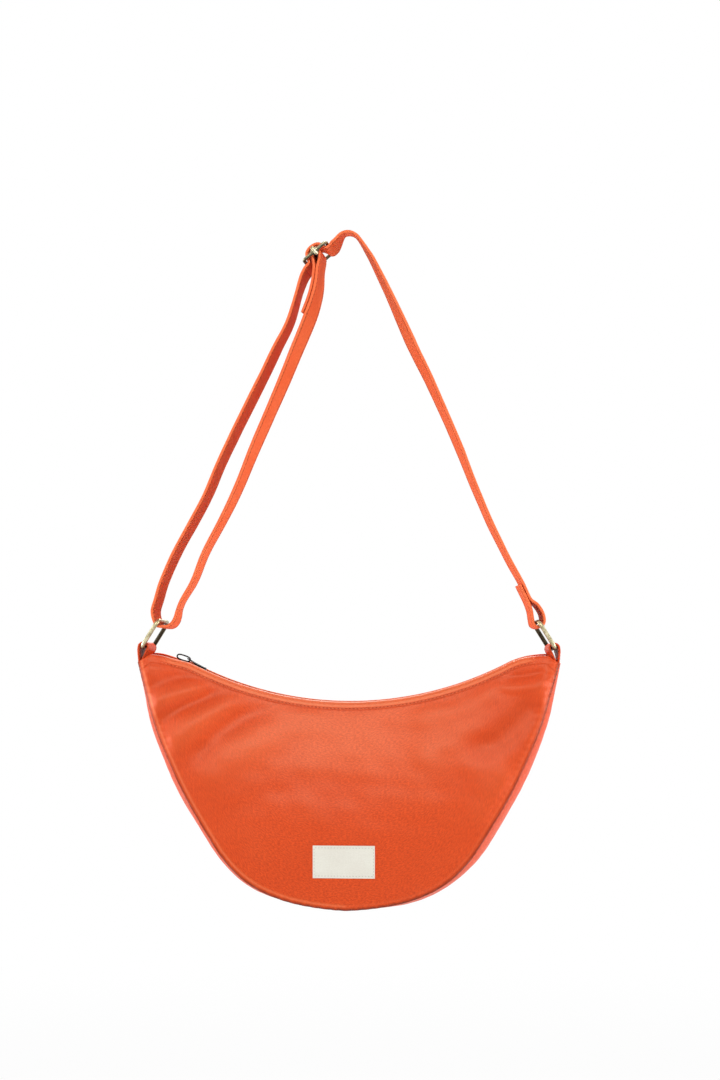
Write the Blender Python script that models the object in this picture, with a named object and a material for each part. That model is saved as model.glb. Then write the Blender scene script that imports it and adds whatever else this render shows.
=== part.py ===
# Half-moon shoulder bag in canvas, hung by the apex of its adjustable strap.
# Metres, +Z up, X across the bag, -Y towards the front panel.
# The origin is the hang point, on the flat underside of the strap's apex.
import math

import bmesh
import bpy
import numpy as np
from mathutils import Matrix, Vector

# Shared cloth and clearance sizes
CLEARANCE = 0.0003
CANVAS = 0.0012
LINING = 0.0006

# Strap webbing
STRAP_WIDTH = 0.025
STRAP_THICKNESS = 0.0024
STRAP_DROP = 0.3178
HANG_FLAT = 0.0035

# Rectangular rings between strap and bag
RING_WIRE = 0.0035
RING_LENGTH = 0.025
RING_INNER_WIDTH = 0.027
RING_CORNER = 0.0045
RING_LEAN_DEG = 31.8
RING_TWIST_DEG = 9.0
INNER_RUN_TWIST_DEG = 2.0
END_LOOP_TWIST_DEG = 20.0
FEED_TWIST_DEG = 21.0
OUTER_RUN_TWIST_DEG = 11.0
RING_SLACK = 0.0009

# Bag body
BAG_HALF_WIDTH = 0.173
BAG_HEIGHT = 0.2015
TIP_OVERHANG = 0.0065
TIP_BELOW_RING = 0.0110
TIP_RISE = 0.0055
TIP_CORNER_CUT = 0.0060
TIP_CORNER_LENGTH = 0.0120
LEFT_EDGE_SAG = 0.0018
LEFT_SAG_TO_TAB = 0.0250
LEFT_SAG_REACH = 0.0110
GUSSET_TIP_HALF_WIDTH = 0.0124
GUSSET_HALF_WIDTH = 0.0345
GUSSET_BULGE = 0.0075
PANEL_BULGE = 0.0120
SEAM_CLEARANCE = 0.0010

# Zip in the top edge
ZIP_RADIUS = 0.2814
ZIP_ARC_END_DROP = 0.0016
ZIP_ARC_TO_TAB = 0.0366
ZIP_HALF_OPENING = 0.0075
ZIP_TIP_HALF_OPENING = 0.0142
ZIP_TAPE = 0.0005
ZIP_TAPE_TURNDOWN = 0.0050
TEETH_INNER = 0.0006
TEETH_WIDTH = 0.0018
TEETH_HEIGHT = 0.0016
TEETH_SINK = 0.0032
STOP_LENGTH = 0.0015
STOP_OVERHANG = 0.0006

# Zip slider, its pull and the pull's wire ring
ZIP_SLIDER_TO_TAB = 0.0476
ZIP_SLIDER_LENGTH = 0.0120
ZIP_SLIDER_WIDTH = 0.0092
ZIP_SLIDER_PLATE = 0.0012
ZIP_SLIDER_EDGE = 0.0004
BAIL_WIRE = 0.0012
BAIL_HALF_SPAN = 0.0037
BAIL_SINK = 0.0006
PULL_PIVOT_RISE = 0.0022
PULL_WIDTH = 0.0056
PULL_LENGTH = 0.0169
PULL_PLATE = 0.0008
PULL_BARREL = 0.0030
PULL_RISE_DEG = 5.0
PULL_HOLE = 0.0040
PULL_HOLE_EDGE = 0.0028
PULL_RING_LENGTH = 0.0112
PULL_RING_HEIGHT = 0.0042
PULL_RING_WIRE = 0.0010
PULL_RING_DROOP_DEG = 13.0
PULL_RING_ROLL_DEG = 20.0
PULL_RING_SQUARENESS = 2.8

# Strap slider: a frame with a centre bar
SLIDER_OUT = 0.0247
SLIDER_DOWN = 0.0176
SLIDER_TILT_DEG = 40.0
SLIDER_TWIST_DEG = 12.0
SLIDER_WIRE = 0.0028
SLIDER_LENGTH = 0.0260
SLIDER_INNER_WIDTH = 0.0280
SLIDER_CORNER = 0.0030
SLIDER_BAR = 0.0030
SLIDER_COLLAR = 0.0050
SLIDER_COLLAR_LENGTH = 0.0066
BAR_WRAP_SLACK = 0.0004
END_LOOP_LENGTH = 0.0500
END_LOOP_BOW = 0.0030

# Sewn loop of the strap round the right ring
LOOP_JUNCTION_IN = 0.0070
LOOP_JUNCTION_UP = 0.0179
LOOP_TAIL_LENGTH = 0.0145
LOOP_MAIN_LENGTH = 0.0180

# Folded tabs at the bag's tips
TAB_WIDTH = 0.024
TAB_THICKNESS = 0.0015
TAB_SLACK = 0.0008
TAB_FOOT_OUT = 0.0034
TAB_FOOT_DROP = 0.0099
ZIP_END_GAP = 0.0022
ZIP_END_SINK = 0.0028

# Woven label
LABEL_WIDTH = 0.0500
LABEL_HEIGHT = 0.0258
LABEL_THICKNESS = 0.0005
LABEL_OFFSET_X = -0.0031
LABEL_ABOVE_BOTTOM = 0.0295

# Facets of the bag's sheets, and how far the linings stop short in shares of a facet
PANEL_COLUMNS = 33
PANEL_ROWS = 10
GUSSET_COLUMNS = 49
GUSSET_ROWS = 7
ZIP_COLUMNS = 29
LINING_COLUMNS_LEFT = 3
LINING_TOP_MARGIN = 0.0130
LINING_TOP_SHARE = 0.9
LINING_SEAM_SHARE = 0.30
GUSSET_LINING_SHARES = (0.45, 0.45, 0.60)

# Places along the bag's outline: share of the half width, share of the height
OUTLINE_SHARES = (
    (1.000, 0.000),
    (0.974, 0.109),
    (0.936, 0.255),
    (0.874, 0.401),
    (0.793, 0.548),
    (0.690, 0.695),
    (0.603, 0.804),
    (0.498, 0.890),
    (0.373, 0.948),
    (0.214, 0.985),
    (0.000, 1.000),
)
# Along the outline from a tip to the middle: share of the way, share of the full bulge
BULGE_SHARES = ((0.0, 0.22), (0.12, 0.62), (0.3, 0.97), (0.5, 1.0), (0.75, 0.82), (1.0, 0.52))
# Along the outline from a tip to the middle: share of the way, share of the gusset's widening
WIDTH_SHARES = ((0.0, 0.0), (0.1, 0.2), (0.25, 0.52), (0.45, 0.82), (0.65, 0.96), (1.0, 1.0))

# Strap route: share of the ring reach, share of the strap's drop
OUTER_RUN_SHARES = (
    (0.262, 0.125),
    (0.315, 0.221),
    (0.387, 0.298),
    (0.519, 0.427),
    (0.652, 0.556),
    (0.770, 0.685),
    (0.915, 0.814),
    (0.987, 0.891),
    (1.0215, 0.943),
)
INNER_RUN_SHARES = (
    (0.217, 0.221),
    (0.278, 0.298),
    (0.391, 0.427),
    (0.508, 0.556),
    (0.620, 0.685),
    (0.760, 0.814),
    (0.826, 0.891),
    (0.888, 0.943),
)
FEED_SHARES = ((0.0287, 0.0002), (0.0359, 0.0035), (0.0457, 0.0104), (0.0587, 0.0211))
RIGHT_TOP_SHARES = ((0.031, 0.0003), (0.047, 0.0058), (0.069, 0.020), (0.095, 0.040), (0.127, 0.066))
RIGHT_RUN_SHARES = (
    (0.179, 0.117),
    (0.230, 0.169),
    (0.302, 0.246),
    (0.353, 0.298),
    (0.479, 0.427),
    (0.594, 0.556),
    (0.701, 0.685),
    (0.824, 0.814),
)
# Twist of the strap's right run: share of the way, degrees
RIGHT_RUN_TWISTS_DEG = ((0.0, 8.0), (0.12, 13.0), (0.25, 18.0), (0.45, 14.0), (0.8, 10.5), (1.0, 8.5))
# Where along their lengths the other strap lengths and the tabs reach a twist
FEED_TWIST_SHARE = 0.6
OUTER_TWIST_SHARE = 0.15
TURN_TWIST_SHARE = 0.55
END_LOOP_TWIST_SHARES = (0.4, 0.6)
TAB_LEAN_SHARES = (0.25, 0.75)
# Strap round the left ring's strap bar, in shares of the turn's radius: along X, up
TURN_SHARES = (
    (-1.50, 2.57),
    (-1.48, 1.25),
    (-1.14, 0.10),
    (-0.60, -0.93),
    (0.38, -1.16),
    (1.40, -1.14),
    (2.20, -0.74),
    (2.85, 0.05),
    (3.28, 1.25),
    (3.58, 2.57),
)
# Strap round the right ring's strap bar, in shares of the loop's radius: along X, up
LOOP_SHARES = (
    (-1.40, 2.50),
    (-1.12, 0.75),
    (-0.80, -0.60),
    (0.02, -1.03),
    (0.86, -0.80),
    (1.35, 0.25),
    (1.02, 2.00),
    (-0.10, 3.70),
)

# Sizes that follow from the ones above
RING_LEAN = math.radians(RING_LEAN_DEG)
RING_RUN = RING_LENGTH * math.sin(RING_LEAN)
RING_RISE = RING_LENGTH * math.cos(RING_LEAN)
RING_WIDTH = RING_INNER_WIDTH + RING_WIRE
TAB_REACH = BAG_HALF_WIDTH - TIP_OVERHANG
RING_REACH = TAB_REACH - RING_RUN
TAB_BAR_Z = -STRAP_DROP - RING_RISE
TIP_Z = TAB_BAR_Z - TIP_BELOW_RING
BAG_LOW_Z = TIP_Z - BAG_HEIGHT
ZIP_HALF_ANGLE = math.asin((TAB_REACH - ZIP_ARC_TO_TAB) / ZIP_RADIUS)
ZIP_CENTRE_Z = TIP_Z - ZIP_ARC_END_DROP + ZIP_RADIUS * math.cos(ZIP_HALF_ANGLE)
ZIP_LOW_Z = ZIP_CENTRE_Z - ZIP_RADIUS
ZIP_REST_ANGLE = math.asin((TAB_REACH - ZIP_SLIDER_TO_TAB) / ZIP_RADIUS)
TEETH_END_ANGLE = ZIP_REST_ANGLE + (ZIP_SLIDER_LENGTH / 2 + CLEARANCE) / ZIP_RADIUS
STOP_START_ANGLE = TEETH_END_ANGLE + CLEARANCE / ZIP_RADIUS
STOP_END_ANGLE = STOP_START_ANGLE + STOP_LENGTH / ZIP_RADIUS
STRAP_LINE_Z = STRAP_THICKNESS / 2
TURN_RADIUS = RING_WIRE / 2 + RING_SLACK + STRAP_THICKNESS / 2
PULL_PIVOT_Z = PULL_PIVOT_RISE - TEETH_SINK + ZIP_SLIDER_PLATE
LAYER_STEP = STRAP_THICKNESS + CLEARANCE
SLIDER_RAIL = SLIDER_LENGTH / 2 - SLIDER_WIRE / 2
BAR_WRAP_RADIUS = SLIDER_BAR / 2 + BAR_WRAP_SLACK + STRAP_THICKNESS / 2
BAR_WRAP_OUTER = BAR_WRAP_RADIUS + STRAP_THICKNESS / 2
WEAVE_OVER = BAR_WRAP_OUTER + CLEARANCE + STRAP_THICKNESS / 2
WEAVE_UNDER = SLIDER_WIRE / 2 + 2 * CLEARANCE + STRAP_THICKNESS / 2
WEAVE_SLOT = SLIDER_RAIL - WEAVE_UNDER

CURVE_STEPS = 24

CANVAS_COLOUR = (0.83, 0.11, 0.025)
LINING_COLOUR = (0.62, 0.10, 0.03)
LABEL_COLOUR = (0.86, 0.84, 0.79)
TAPE_COLOUR = (0.70, 0.09, 0.02)
TEETH_COLOUR = (0.03, 0.025, 0.02)
BRASS_COLOUR = (0.43, 0.36, 0.22)
GUNMETAL_COLOUR = (0.035, 0.032, 0.03)


def clear_scene():
    for obj in list(bpy.data.objects):
        bpy.data.objects.remove(obj, do_unlink=True)


def add_material(obj, colour, roughness, metallic=0.0):
    material = bpy.data.materials.new(obj.name + "_finish")
    material.use_nodes = True
    shader = material.node_tree.nodes["Principled BSDF"]
    shader.inputs["Base Color"].default_value = (*colour, 1.0)
    shader.inputs["Roughness"].default_value = roughness
    shader.inputs["Metallic"].default_value = metallic
    obj.data.materials.append(material)
    return obj


def add_pivot(name, place, parent=None):
    # An empty on a joint's axis. Its world place is kept, so that pieces can be built round it.
    pivot = bpy.data.objects.new(name, None)
    bpy.context.scene.collection.objects.link(pivot)
    pivot["world_place"] = place
    if parent is None:
        pivot.location = place
    else:
        pivot.parent = parent
        pivot.location = Vector(place) - Vector(parent["world_place"])
    return pivot


def link_object(name, data, parent):
    obj = bpy.data.objects.new(name, data)
    bpy.context.scene.collection.objects.link(obj)
    obj.parent = parent
    return obj


def mesh_object(name, points, faces, parent):
    # Points are in world space. The mesh holds them relative to the parent's place.
    origin = np.array(parent["world_place"])
    mesh = bpy.data.meshes.new(name)
    mesh.from_pydata([tuple(p) for p in np.asarray(points) - origin], [], faces)
    mesh.update()
    return link_object(name, mesh, parent)


def add_thickness(obj, thickness):
    shell = obj.modifiers.new("Thickness", "SOLIDIFY")
    shell.thickness = thickness
    shell.offset = 0.0
    shell.use_even_offset = True
    obj.data.shade_smooth()
    obj.data.set_sharp_from_angle(angle=math.radians(45))
    return obj


def sheet(name, grid, thickness, parent):
    # A grid of points, rows by columns, given a thickness about its own surface
    rows, columns = grid.shape[:2]
    faces = []
    for r in range(rows - 1):
        for c in range(columns - 1):
            a = r * columns + c
            faces.append((a, a + 1, a + columns + 1, a + columns))
    return add_thickness(mesh_object(name, grid.reshape(-1, 3), faces, parent), thickness)


def smooth_path(points, count):
    return equal_steps(smooth_curve(points), count)


def smooth_curve(points):
    # Catmull-Rom curve through the points, CURVE_STEPS samples to each span
    p = np.array(points, float)
    p = np.vstack([2 * p[0] - p[1], p, 2 * p[-1] - p[-2]])
    t = np.linspace(0, 1, CURVE_STEPS, endpoint=False)[:, None]
    pieces = []
    for a, b, c, d in zip(p[:-3], p[1:-2], p[2:-1], p[3:]):
        pieces.append(
            0.5
            * (
                2 * b
                + (c - a) * t
                + (2 * a - 5 * b + 4 * c - d) * t**2
                + (3 * b - a - 3 * c + d) * t**3
            )
        )
    return np.vstack([*pieces, p[-2:-1]])


def smooth_sections(sections, counts):
    # One smooth curve through all sections, each of which starts at the last point of the one
    # before it. It is cut at those points, so that neighbours meet end to end.
    points = [sections[0][0]]
    for section in sections:
        points.extend(section[1:])
    curve = smooth_curve(points)
    parts = []
    start = 0
    for section, count in zip(sections, counts):
        end = start + (len(section) - 1) * CURVE_STEPS
        parts.append(equal_steps(curve[start : end + 1], count))
        start = end
    return parts


def equal_steps(curve, count):
    lengths = np.linalg.norm(np.diff(curve, axis=0), axis=1)
    way = np.concatenate([[0], np.cumsum(lengths)])
    wanted = np.linspace(0, way[-1], count)
    return np.stack([np.interp(wanted, way, curve[:, k]) for k in range(curve.shape[1])], axis=1)


def eased(shares, places):
    # Reads a table of (place, value) at the given places, easing from one value to the next
    table = np.array(shares)
    return smooth_table(table[:, 0], table[:, 1], places)


def smooth_table(xs, ys, places):
    index = np.clip(np.searchsorted(xs, places, side="right") - 1, 0, len(xs) - 2)
    slope = np.gradient(ys, xs)
    width = xs[index + 1] - xs[index]
    t = (places - xs[index]) / width
    start, end = ys[index], ys[index + 1]
    return (
        start * (1 + 2 * t) * (1 - t) ** 2
        + end * t**2 * (3 - 2 * t)
        + slope[index] * width * t * (1 - t) ** 2
        + slope[index + 1] * width * t**2 * (t - 1)
    )


def top_edge(x):
    # Height of the bag's top edge: the zip's arc, then an easy curve out to each tip. The edge
    # sags a little between the end of the zip and the left tab.
    sag = LEFT_EDGE_SAG * np.exp(-(((x + TAB_REACH - LEFT_SAG_TO_TAB) / LEFT_SAG_REACH) ** 2))
    x = np.abs(x)
    arc_end = ZIP_RADIUS * math.sin(ZIP_HALF_ANGLE)
    arc = ZIP_CENTRE_Z - np.sqrt(ZIP_RADIUS**2 - np.minimum(x, arc_end) ** 2)
    start = ZIP_CENTRE_Z - ZIP_RADIUS * math.cos(ZIP_HALF_ANGLE)
    end = TIP_Z + TIP_RISE
    width = TAB_REACH - arc_end
    t = np.clip((x - arc_end) / width, 0, 1)
    ease = (
        start * (1 + 2 * t) * (1 - t) ** 2
        + end * t**2 * (3 - 2 * t)
        + math.tan(ZIP_HALF_ANGLE) * width * t * (1 - t) ** 2
    )
    corner = np.clip((x - TAB_REACH + TIP_CORNER_LENGTH / 2) / TIP_CORNER_LENGTH, 0, 1)
    cut = TIP_CORNER_CUT * corner * corner * (3 - 2 * corner)
    return np.where(x <= arc_end, arc, ease - cut) - sag


def half_opening(x):
    # Half the distance between the front and back panels along the top edge
    arc_end = ZIP_RADIUS * math.sin(ZIP_HALF_ANGLE)
    t = np.clip((np.abs(x) - arc_end) / (TAB_REACH - arc_end), 0, 1)
    return ZIP_HALF_OPENING + (ZIP_TIP_HALF_OPENING - ZIP_HALF_OPENING) * t * t * (3 - 2 * t)


def bag_outline(count):
    # Middle of the gusset from the left tip to the right tip, with its outward normals, the way
    # from the nearer tip as a share, the seams' inset and the gusset's half width
    right = np.array([(x * BAG_HALF_WIDTH, TIP_Z - z * BAG_HEIGHT) for x, z in OUTLINE_SHARES])
    left = right[::-1] * (-1, 1)
    curve = smooth_path(np.vstack([right[:-1], left])[::-1], count)
    tangent = np.gradient(curve, axis=0)
    tangent /= np.linalg.norm(tangent, axis=1)[:, None]
    normal = np.stack([tangent[:, 1], -tangent[:, 0]], axis=1)
    way = 1 - np.abs(np.linspace(-1, 1, count))
    inset = GUSSET_BULGE * eased(BULGE_SHARES, way)
    widening = GUSSET_HALF_WIDTH - GUSSET_TIP_HALF_WIDTH
    half = GUSSET_TIP_HALF_WIDTH + widening * eased(WIDTH_SHARES, way)
    return curve, normal, inset, half


def surface_normals(grid):
    # Towards the back on a panel's grid, towards the inside on the gusset's
    across = np.gradient(grid, axis=1)
    down = np.gradient(grid, axis=0)
    normal = np.cross(across, down)
    return normal / np.linalg.norm(normal, axis=2)[:, :, None]


def gusset_grid(columns, rows):
    # Rows run from the front seam to the back seam, bulging outward between them
    curve, normal, inset, half = bag_outline(columns)
    w = np.linspace(-1, 1, rows)[:, None]
    x = curve[:, 0] - normal[:, 0] * inset * w**2
    z = curve[:, 1] - normal[:, 1] * inset * w**2
    return np.stack([x, half * w, z], axis=2)


def panel_edge(x):
    # Height of a panel's lower edge at x, level with the gusset's outer face, and the half width
    curve, normal, inset, half = bag_outline(241)
    edge = curve - normal * (inset - CANVAS / 2)[:, None]
    return np.interp(x, edge[:, 0], edge[:, 1]), np.interp(x, edge[:, 0], half)


def panel_reach():
    curve, normal, inset, _ = bag_outline(241)
    return curve[-1, 0] - inset[-1] + CANVAS / 2


def panel_depth(x, z):
    # Distance of a panel's middle surface from the bag's middle plane at these places
    lower, half = panel_edge(x)
    top = top_edge(x)
    v = (top - z) / (top - lower)
    share = (top - lower) / (ZIP_LOW_Z - BAG_LOW_Z)
    opening = half_opening(x)
    seam = half + CANVAS / 2 + SEAM_CLEARANCE
    bulge = PANEL_BULGE * share * np.sin(math.pi * np.clip(v, 0, 1))
    return opening + (seam - opening) * v + bulge


def panel_grid(side, columns, rows):
    # Columns stand at X places that close up towards the tips, rows run from the zip to the seam
    x = np.sin(np.linspace(-math.pi / 2, math.pi / 2, columns)) * panel_reach()
    top = top_edge(x)
    z = top - np.linspace(0, 1, rows)[:, None] * (top - panel_edge(x)[0])
    y = panel_depth(x, z)
    return np.stack([np.broadcast_to(x, y.shape), side * y, z], axis=2)


def zip_frame(angle):
    # A point of the zip's arc, its tangent towards +X and its upward normal, all in XZ
    point = np.array([ZIP_RADIUS * math.sin(angle), ZIP_CENTRE_Z - ZIP_RADIUS * math.cos(angle)])
    tangent = np.array([math.cos(angle), math.sin(angle)])
    normal = np.array([-math.sin(angle), math.cos(angle)])
    return point, tangent, normal


def zip_strip(name, rows, thickness, parent):
    # A strip along the zip's arc. Each row is (height above the arc, Y), with Y None for a row
    # that lies on the inside of the panel, on the side of the row before it.
    columns = ZIP_COLUMNS
    inside = CANVAS / 2 + 2 * CLEARANCE + thickness / 2
    grid = np.empty((len(rows), columns, 3))
    for c, angle in enumerate(np.linspace(-TEETH_END_ANGLE, TEETH_END_ANGLE, columns)):
        point, _, normal = zip_frame(angle)
        for r, (height, y) in enumerate(rows):
            spot = point + normal * height
            if y is None:
                depth = panel_depth(spot[0], spot[1]) - inside
                y = math.copysign(depth, rows[0][1])
            grid[r, c] = (spot[0], y, spot[1])
    return sheet(name, grid, thickness, parent)


def add_panels(bag):
    for name, side in (("front_panel", -1), ("back_panel", 1)):
        panel = sheet(name, panel_grid(side, PANEL_COLUMNS, PANEL_ROWS), CANVAS, bag)
        add_material(panel, CANVAS_COLOUR, 0.85)
    gusset = sheet("gusset", gusset_grid(GUSSET_COLUMNS, GUSSET_ROWS), CANVAS, bag)
    add_material(gusset, CANVAS_COLOUR, 0.85)


def trimmed(grid, first, last, ends):
    # The same facets with the outer rows and columns drawn inward by shares of a facet
    grid = grid.copy()
    grid[0] += (grid[1] - grid[0]) * first
    grid[-1] += (grid[-2] - grid[-1]) * last
    grid[:, 0] += (grid[:, 1] - grid[:, 0]) * ends
    grid[:, -1] += (grid[:, -2] - grid[:, -1]) * ends
    return grid


def add_linings(bag):
    step = CANVAS / 2 + CLEARANCE + LINING / 2
    for name, side in (("front_lining", -1), ("back_lining", 1)):
        grid = panel_grid(side, PANEL_COLUMNS, PANEL_ROWS)
        grid -= side * surface_normals(grid) * step
        grid = grid[:, LINING_COLUMNS_LEFT : -LINING_COLUMNS_LEFT]
        facet = grid[0, :, 2:] - grid[1, :, 2:]
        top = np.minimum(LINING_TOP_MARGIN / facet, LINING_TOP_SHARE)
        grid = trimmed(grid, top, LINING_SEAM_SHARE, 0)
        lining = sheet(name, grid, LINING, bag)
        add_material(lining, LINING_COLOUR, 0.8)
    grid = gusset_grid(GUSSET_COLUMNS, GUSSET_ROWS)
    grid = trimmed(grid + surface_normals(grid) * step, *GUSSET_LINING_SHARES)
    add_material(sheet("gusset_lining", grid, LINING, bag), LINING_COLOUR, 0.8)


def add_zip(bag):
    height = -TEETH_SINK - TEETH_HEIGHT / 2
    teeth_outer = TEETH_INNER + TEETH_WIDTH
    for name, side in (("front", -1), ("back", 1)):
        rows = [
            (height, side * (teeth_outer + CLEARANCE)),
            (height, None),
            (height - ZIP_TAPE_TURNDOWN, None),
        ]
        tape = zip_strip("zip_tape_" + name, rows, ZIP_TAPE, bag)
        add_material(tape, TAPE_COLOUR, 0.8)
        rows = [(height, side * TEETH_INNER), (height, side * teeth_outer)]
        teeth = zip_strip("zip_teeth_" + name, rows, TEETH_HEIGHT, bag)
        add_material(teeth, TEETH_COLOUR, 0.4, 0.6)


def box_mesh(name, low, high):
    mesh = bpy.data.meshes.new(name)
    bm = bmesh.new()
    bmesh.ops.create_cube(bm, size=1.0)
    low, high = Vector(low), Vector(high)
    for vertex in bm.verts:
        vertex.co = Vector((low[k] + (vertex.co[k] + 0.5) * (high[k] - low[k]) for k in range(3)))
    bm.to_mesh(mesh)
    bm.free()
    return mesh


def cylinder_mesh(name, radius, low, high, axis, centre, sides=16):
    # A cylinder along the named local axis between two places on it
    bm = bmesh.new()
    bmesh.ops.create_cone(
        bm, cap_ends=True, segments=sides, radius1=radius, radius2=radius, depth=high - low
    )
    turn = {"X": Matrix.Rotation(math.pi / 2, 4, "Y"), "Y": Matrix.Rotation(math.pi / 2, 4, "X")}
    bmesh.ops.transform(bm, matrix=turn.get(axis, Matrix()), verts=bm.verts)
    middle = Vector(centre)
    middle["XYZ".index(axis)] += (low + high) / 2
    bmesh.ops.translate(bm, vec=middle, verts=bm.verts)
    bmesh.ops.recalc_face_normals(bm, faces=bm.faces)
    mesh = bpy.data.meshes.new(name)
    bm.to_mesh(mesh)
    bm.free()
    return mesh


def add_helper(name, mesh, target):
    # A hidden shape in the target's own frame, for a Boolean
    helper = link_object(name, mesh, target.parent)
    helper.matrix_basis = target.matrix_basis
    helper.hide_render = True
    helper.display_type = "WIRE"
    return helper


def boolean(target, helper, operation):
    modifier = target.modifiers.new(helper.name, "BOOLEAN")
    modifier.operation = operation
    modifier.object = helper
    modifier.solver = "EXACT"


def wire_curve(name, points, radius, parent, cyclic, sides=3):
    data = bpy.data.curves.new(name, "CURVE")
    data.dimensions = "3D"
    data.bevel_depth = radius
    data.bevel_resolution = sides
    data.use_fill_caps = not cyclic
    spline = data.splines.new("POLY")
    spline.points.add(len(points) - 1)
    for spot, point in zip(spline.points, points):
        spot.co = (*point, 1.0)
    spline.use_cyclic_u = cyclic
    return link_object(name, data, parent)


def rounded_rectangle(length, width, corner, steps=5):
    # Points in the local XY plane, width along X and length along Y, starting at the middle
    points = []
    for k, (sx, sy) in enumerate(((1, 1), (-1, 1), (-1, -1), (1, -1))):
        centre = (sx * (width / 2 - corner), sy * (length / 2 - corner))
        for i in range(steps + 1):
            angle = math.pi / 2 * (k + i / steps)
            points.append(
                (centre[0] + corner * math.cos(angle), centre[1] + corner * math.sin(angle), 0.0)
            )
    return points


def frame_matrix(x_axis, y_axis, place):
    x_axis, y_axis = Vector(x_axis).normalized(), Vector(y_axis).normalized()
    z_axis = x_axis.cross(y_axis)
    turn = Matrix((x_axis, y_axis, z_axis)).transposed()
    return Matrix.Translation(place) @ turn.to_4x4()


def leaned(side, twist_deg, outward):
    # Direction along a strap's width or a bar, from back to front, turned towards its outer side
    lean = math.tan(math.radians(twist_deg))
    return np.array([side * outward[0] * lean, -1.0, outward[1] * lean])


def ring_width_direction(side):
    return leaned(side, RING_TWIST_DEG, (math.cos(RING_LEAN), math.sin(RING_LEAN)))


def add_ring(name, side, pivot):
    strap_bar = Vector((side * RING_REACH, 0, -STRAP_DROP))
    tab_bar = Vector((side * TAB_REACH, 0, TAB_BAR_Z))
    middle = (strap_bar + tab_bar) / 2 - Vector(pivot["world_place"])
    corner = RING_CORNER
    points = rounded_rectangle(RING_LENGTH, RING_WIDTH, corner)
    ring = wire_curve(name, points, RING_WIRE / 2, pivot, True)
    ring.matrix_basis = frame_matrix(ring_width_direction(side), strap_bar - tab_bar, middle)
    add_material(ring, BRASS_COLOUR, 0.35, 1.0)


def ribbon(name, path, directions, width, thickness, parent):
    # A flat strip along a path in XZ. directions holds (share of the way, width direction).
    shares = np.array([share for share, _ in directions])
    vectors = np.array([vector for _, vector in directions])
    lengths = np.linalg.norm(np.diff(path, axis=0), axis=1)
    way = np.concatenate([[0], np.cumsum(lengths)]) / lengths.sum()
    across = np.stack([np.interp(way, shares, vectors[:, k]) for k in range(3)], axis=1)
    across /= np.linalg.norm(across, axis=1)[:, None]
    middle = np.stack([path[:, 0], np.zeros(len(path)), path[:, 1]], axis=1)
    grid = np.stack([middle - across * width / 2, middle + across * width / 2])
    obj = sheet(name, grid, thickness, parent)
    return add_material(obj, CANVAS_COLOUR, 0.85)


def strap(name, path, directions, parent):
    return ribbon(name, path, directions, STRAP_WIDTH, STRAP_THICKNESS, parent)


def route(shares, side):
    return [(side * x * RING_REACH, -z * STRAP_DROP) for x, z in shares]


def gap_ends(path, start=True, end=True):
    # Draws the ends of a path in by half the clearance, so that neighbours don't touch
    path = np.array(path)
    if start:
        step = path[1] - path[0]
        path[0] += step / np.linalg.norm(step) * CLEARANCE / 2
    if end:
        step = path[-2] - path[-1]
        path[-1] += step / np.linalg.norm(step) * CLEARANCE / 2
    return path


def right_loop_points():
    # Main layer from above, round the ring's strap bar, and back up as the sewn tail
    bar = np.array([RING_REACH, -STRAP_DROP])
    junction = bar + (-LOOP_JUNCTION_IN, LOOP_JUNCTION_UP)
    above = np.array(route(RIGHT_RUN_SHARES[-1:], 1)[0])
    up = (above - junction) / np.linalg.norm(above - junction)
    outer = np.array([up[1], -up[0]])
    main = junction + outer * LAYER_STEP / 2
    tail = junction - outer * LAYER_STEP / 2
    turn = [bar + TURN_RADIUS * np.array(share) for share in LOOP_SHARES]
    main_layer = [main + up * LOOP_MAIN_LENGTH, main + up * LOOP_MAIN_LENGTH / 2, main]
    tail_layer = [tail, tail + up * LOOP_TAIL_LENGTH / 2, tail + up * LOOP_TAIL_LENGTH]
    return main_layer + turn[::-1] + tail_layer


def slider_axes():
    tilt = math.radians(SLIDER_TILT_DEG)
    along = np.array([math.cos(tilt), math.sin(tilt)])
    normal = np.array([-math.sin(tilt), math.cos(tilt)])
    return np.array([-SLIDER_OUT, -SLIDER_DOWN]), along, normal


def in_slider(places):
    centre, along, normal = slider_axes()
    return [centre + along * a + normal * b for a, b in places]


def weave_points():
    # Under the upper rail, over the centre bar and its wrap, and down under the lower rail
    bend = WEAVE_UNDER * math.sqrt(0.5)
    return in_slider(
        (
            (SLIDER_RAIL + WEAVE_UNDER * 1.2, -WEAVE_UNDER * 0.82),
            (SLIDER_RAIL, -WEAVE_UNDER * 1.03),
            (SLIDER_RAIL - bend * 1.05, -bend * 1.05),
            (WEAVE_SLOT, 0.0),
            (WEAVE_SLOT * 0.78, WEAVE_OVER * 0.66),
            (WEAVE_SLOT * 0.42, WEAVE_OVER * 0.97),
            (0.0, WEAVE_OVER * 1.06),
            (-WEAVE_SLOT * 0.42, WEAVE_OVER * 0.97),
            (-WEAVE_SLOT * 0.78, WEAVE_OVER * 0.66),
            (-WEAVE_SLOT, 0.0),
            (-SLIDER_RAIL + bend * 1.05, -bend * 1.05),
            (-SLIDER_RAIL, -WEAVE_UNDER * 1.04),
            (-SLIDER_RAIL - WEAVE_UNDER * 1.2, -WEAVE_UNDER * 1.25),
        )
    )


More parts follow.
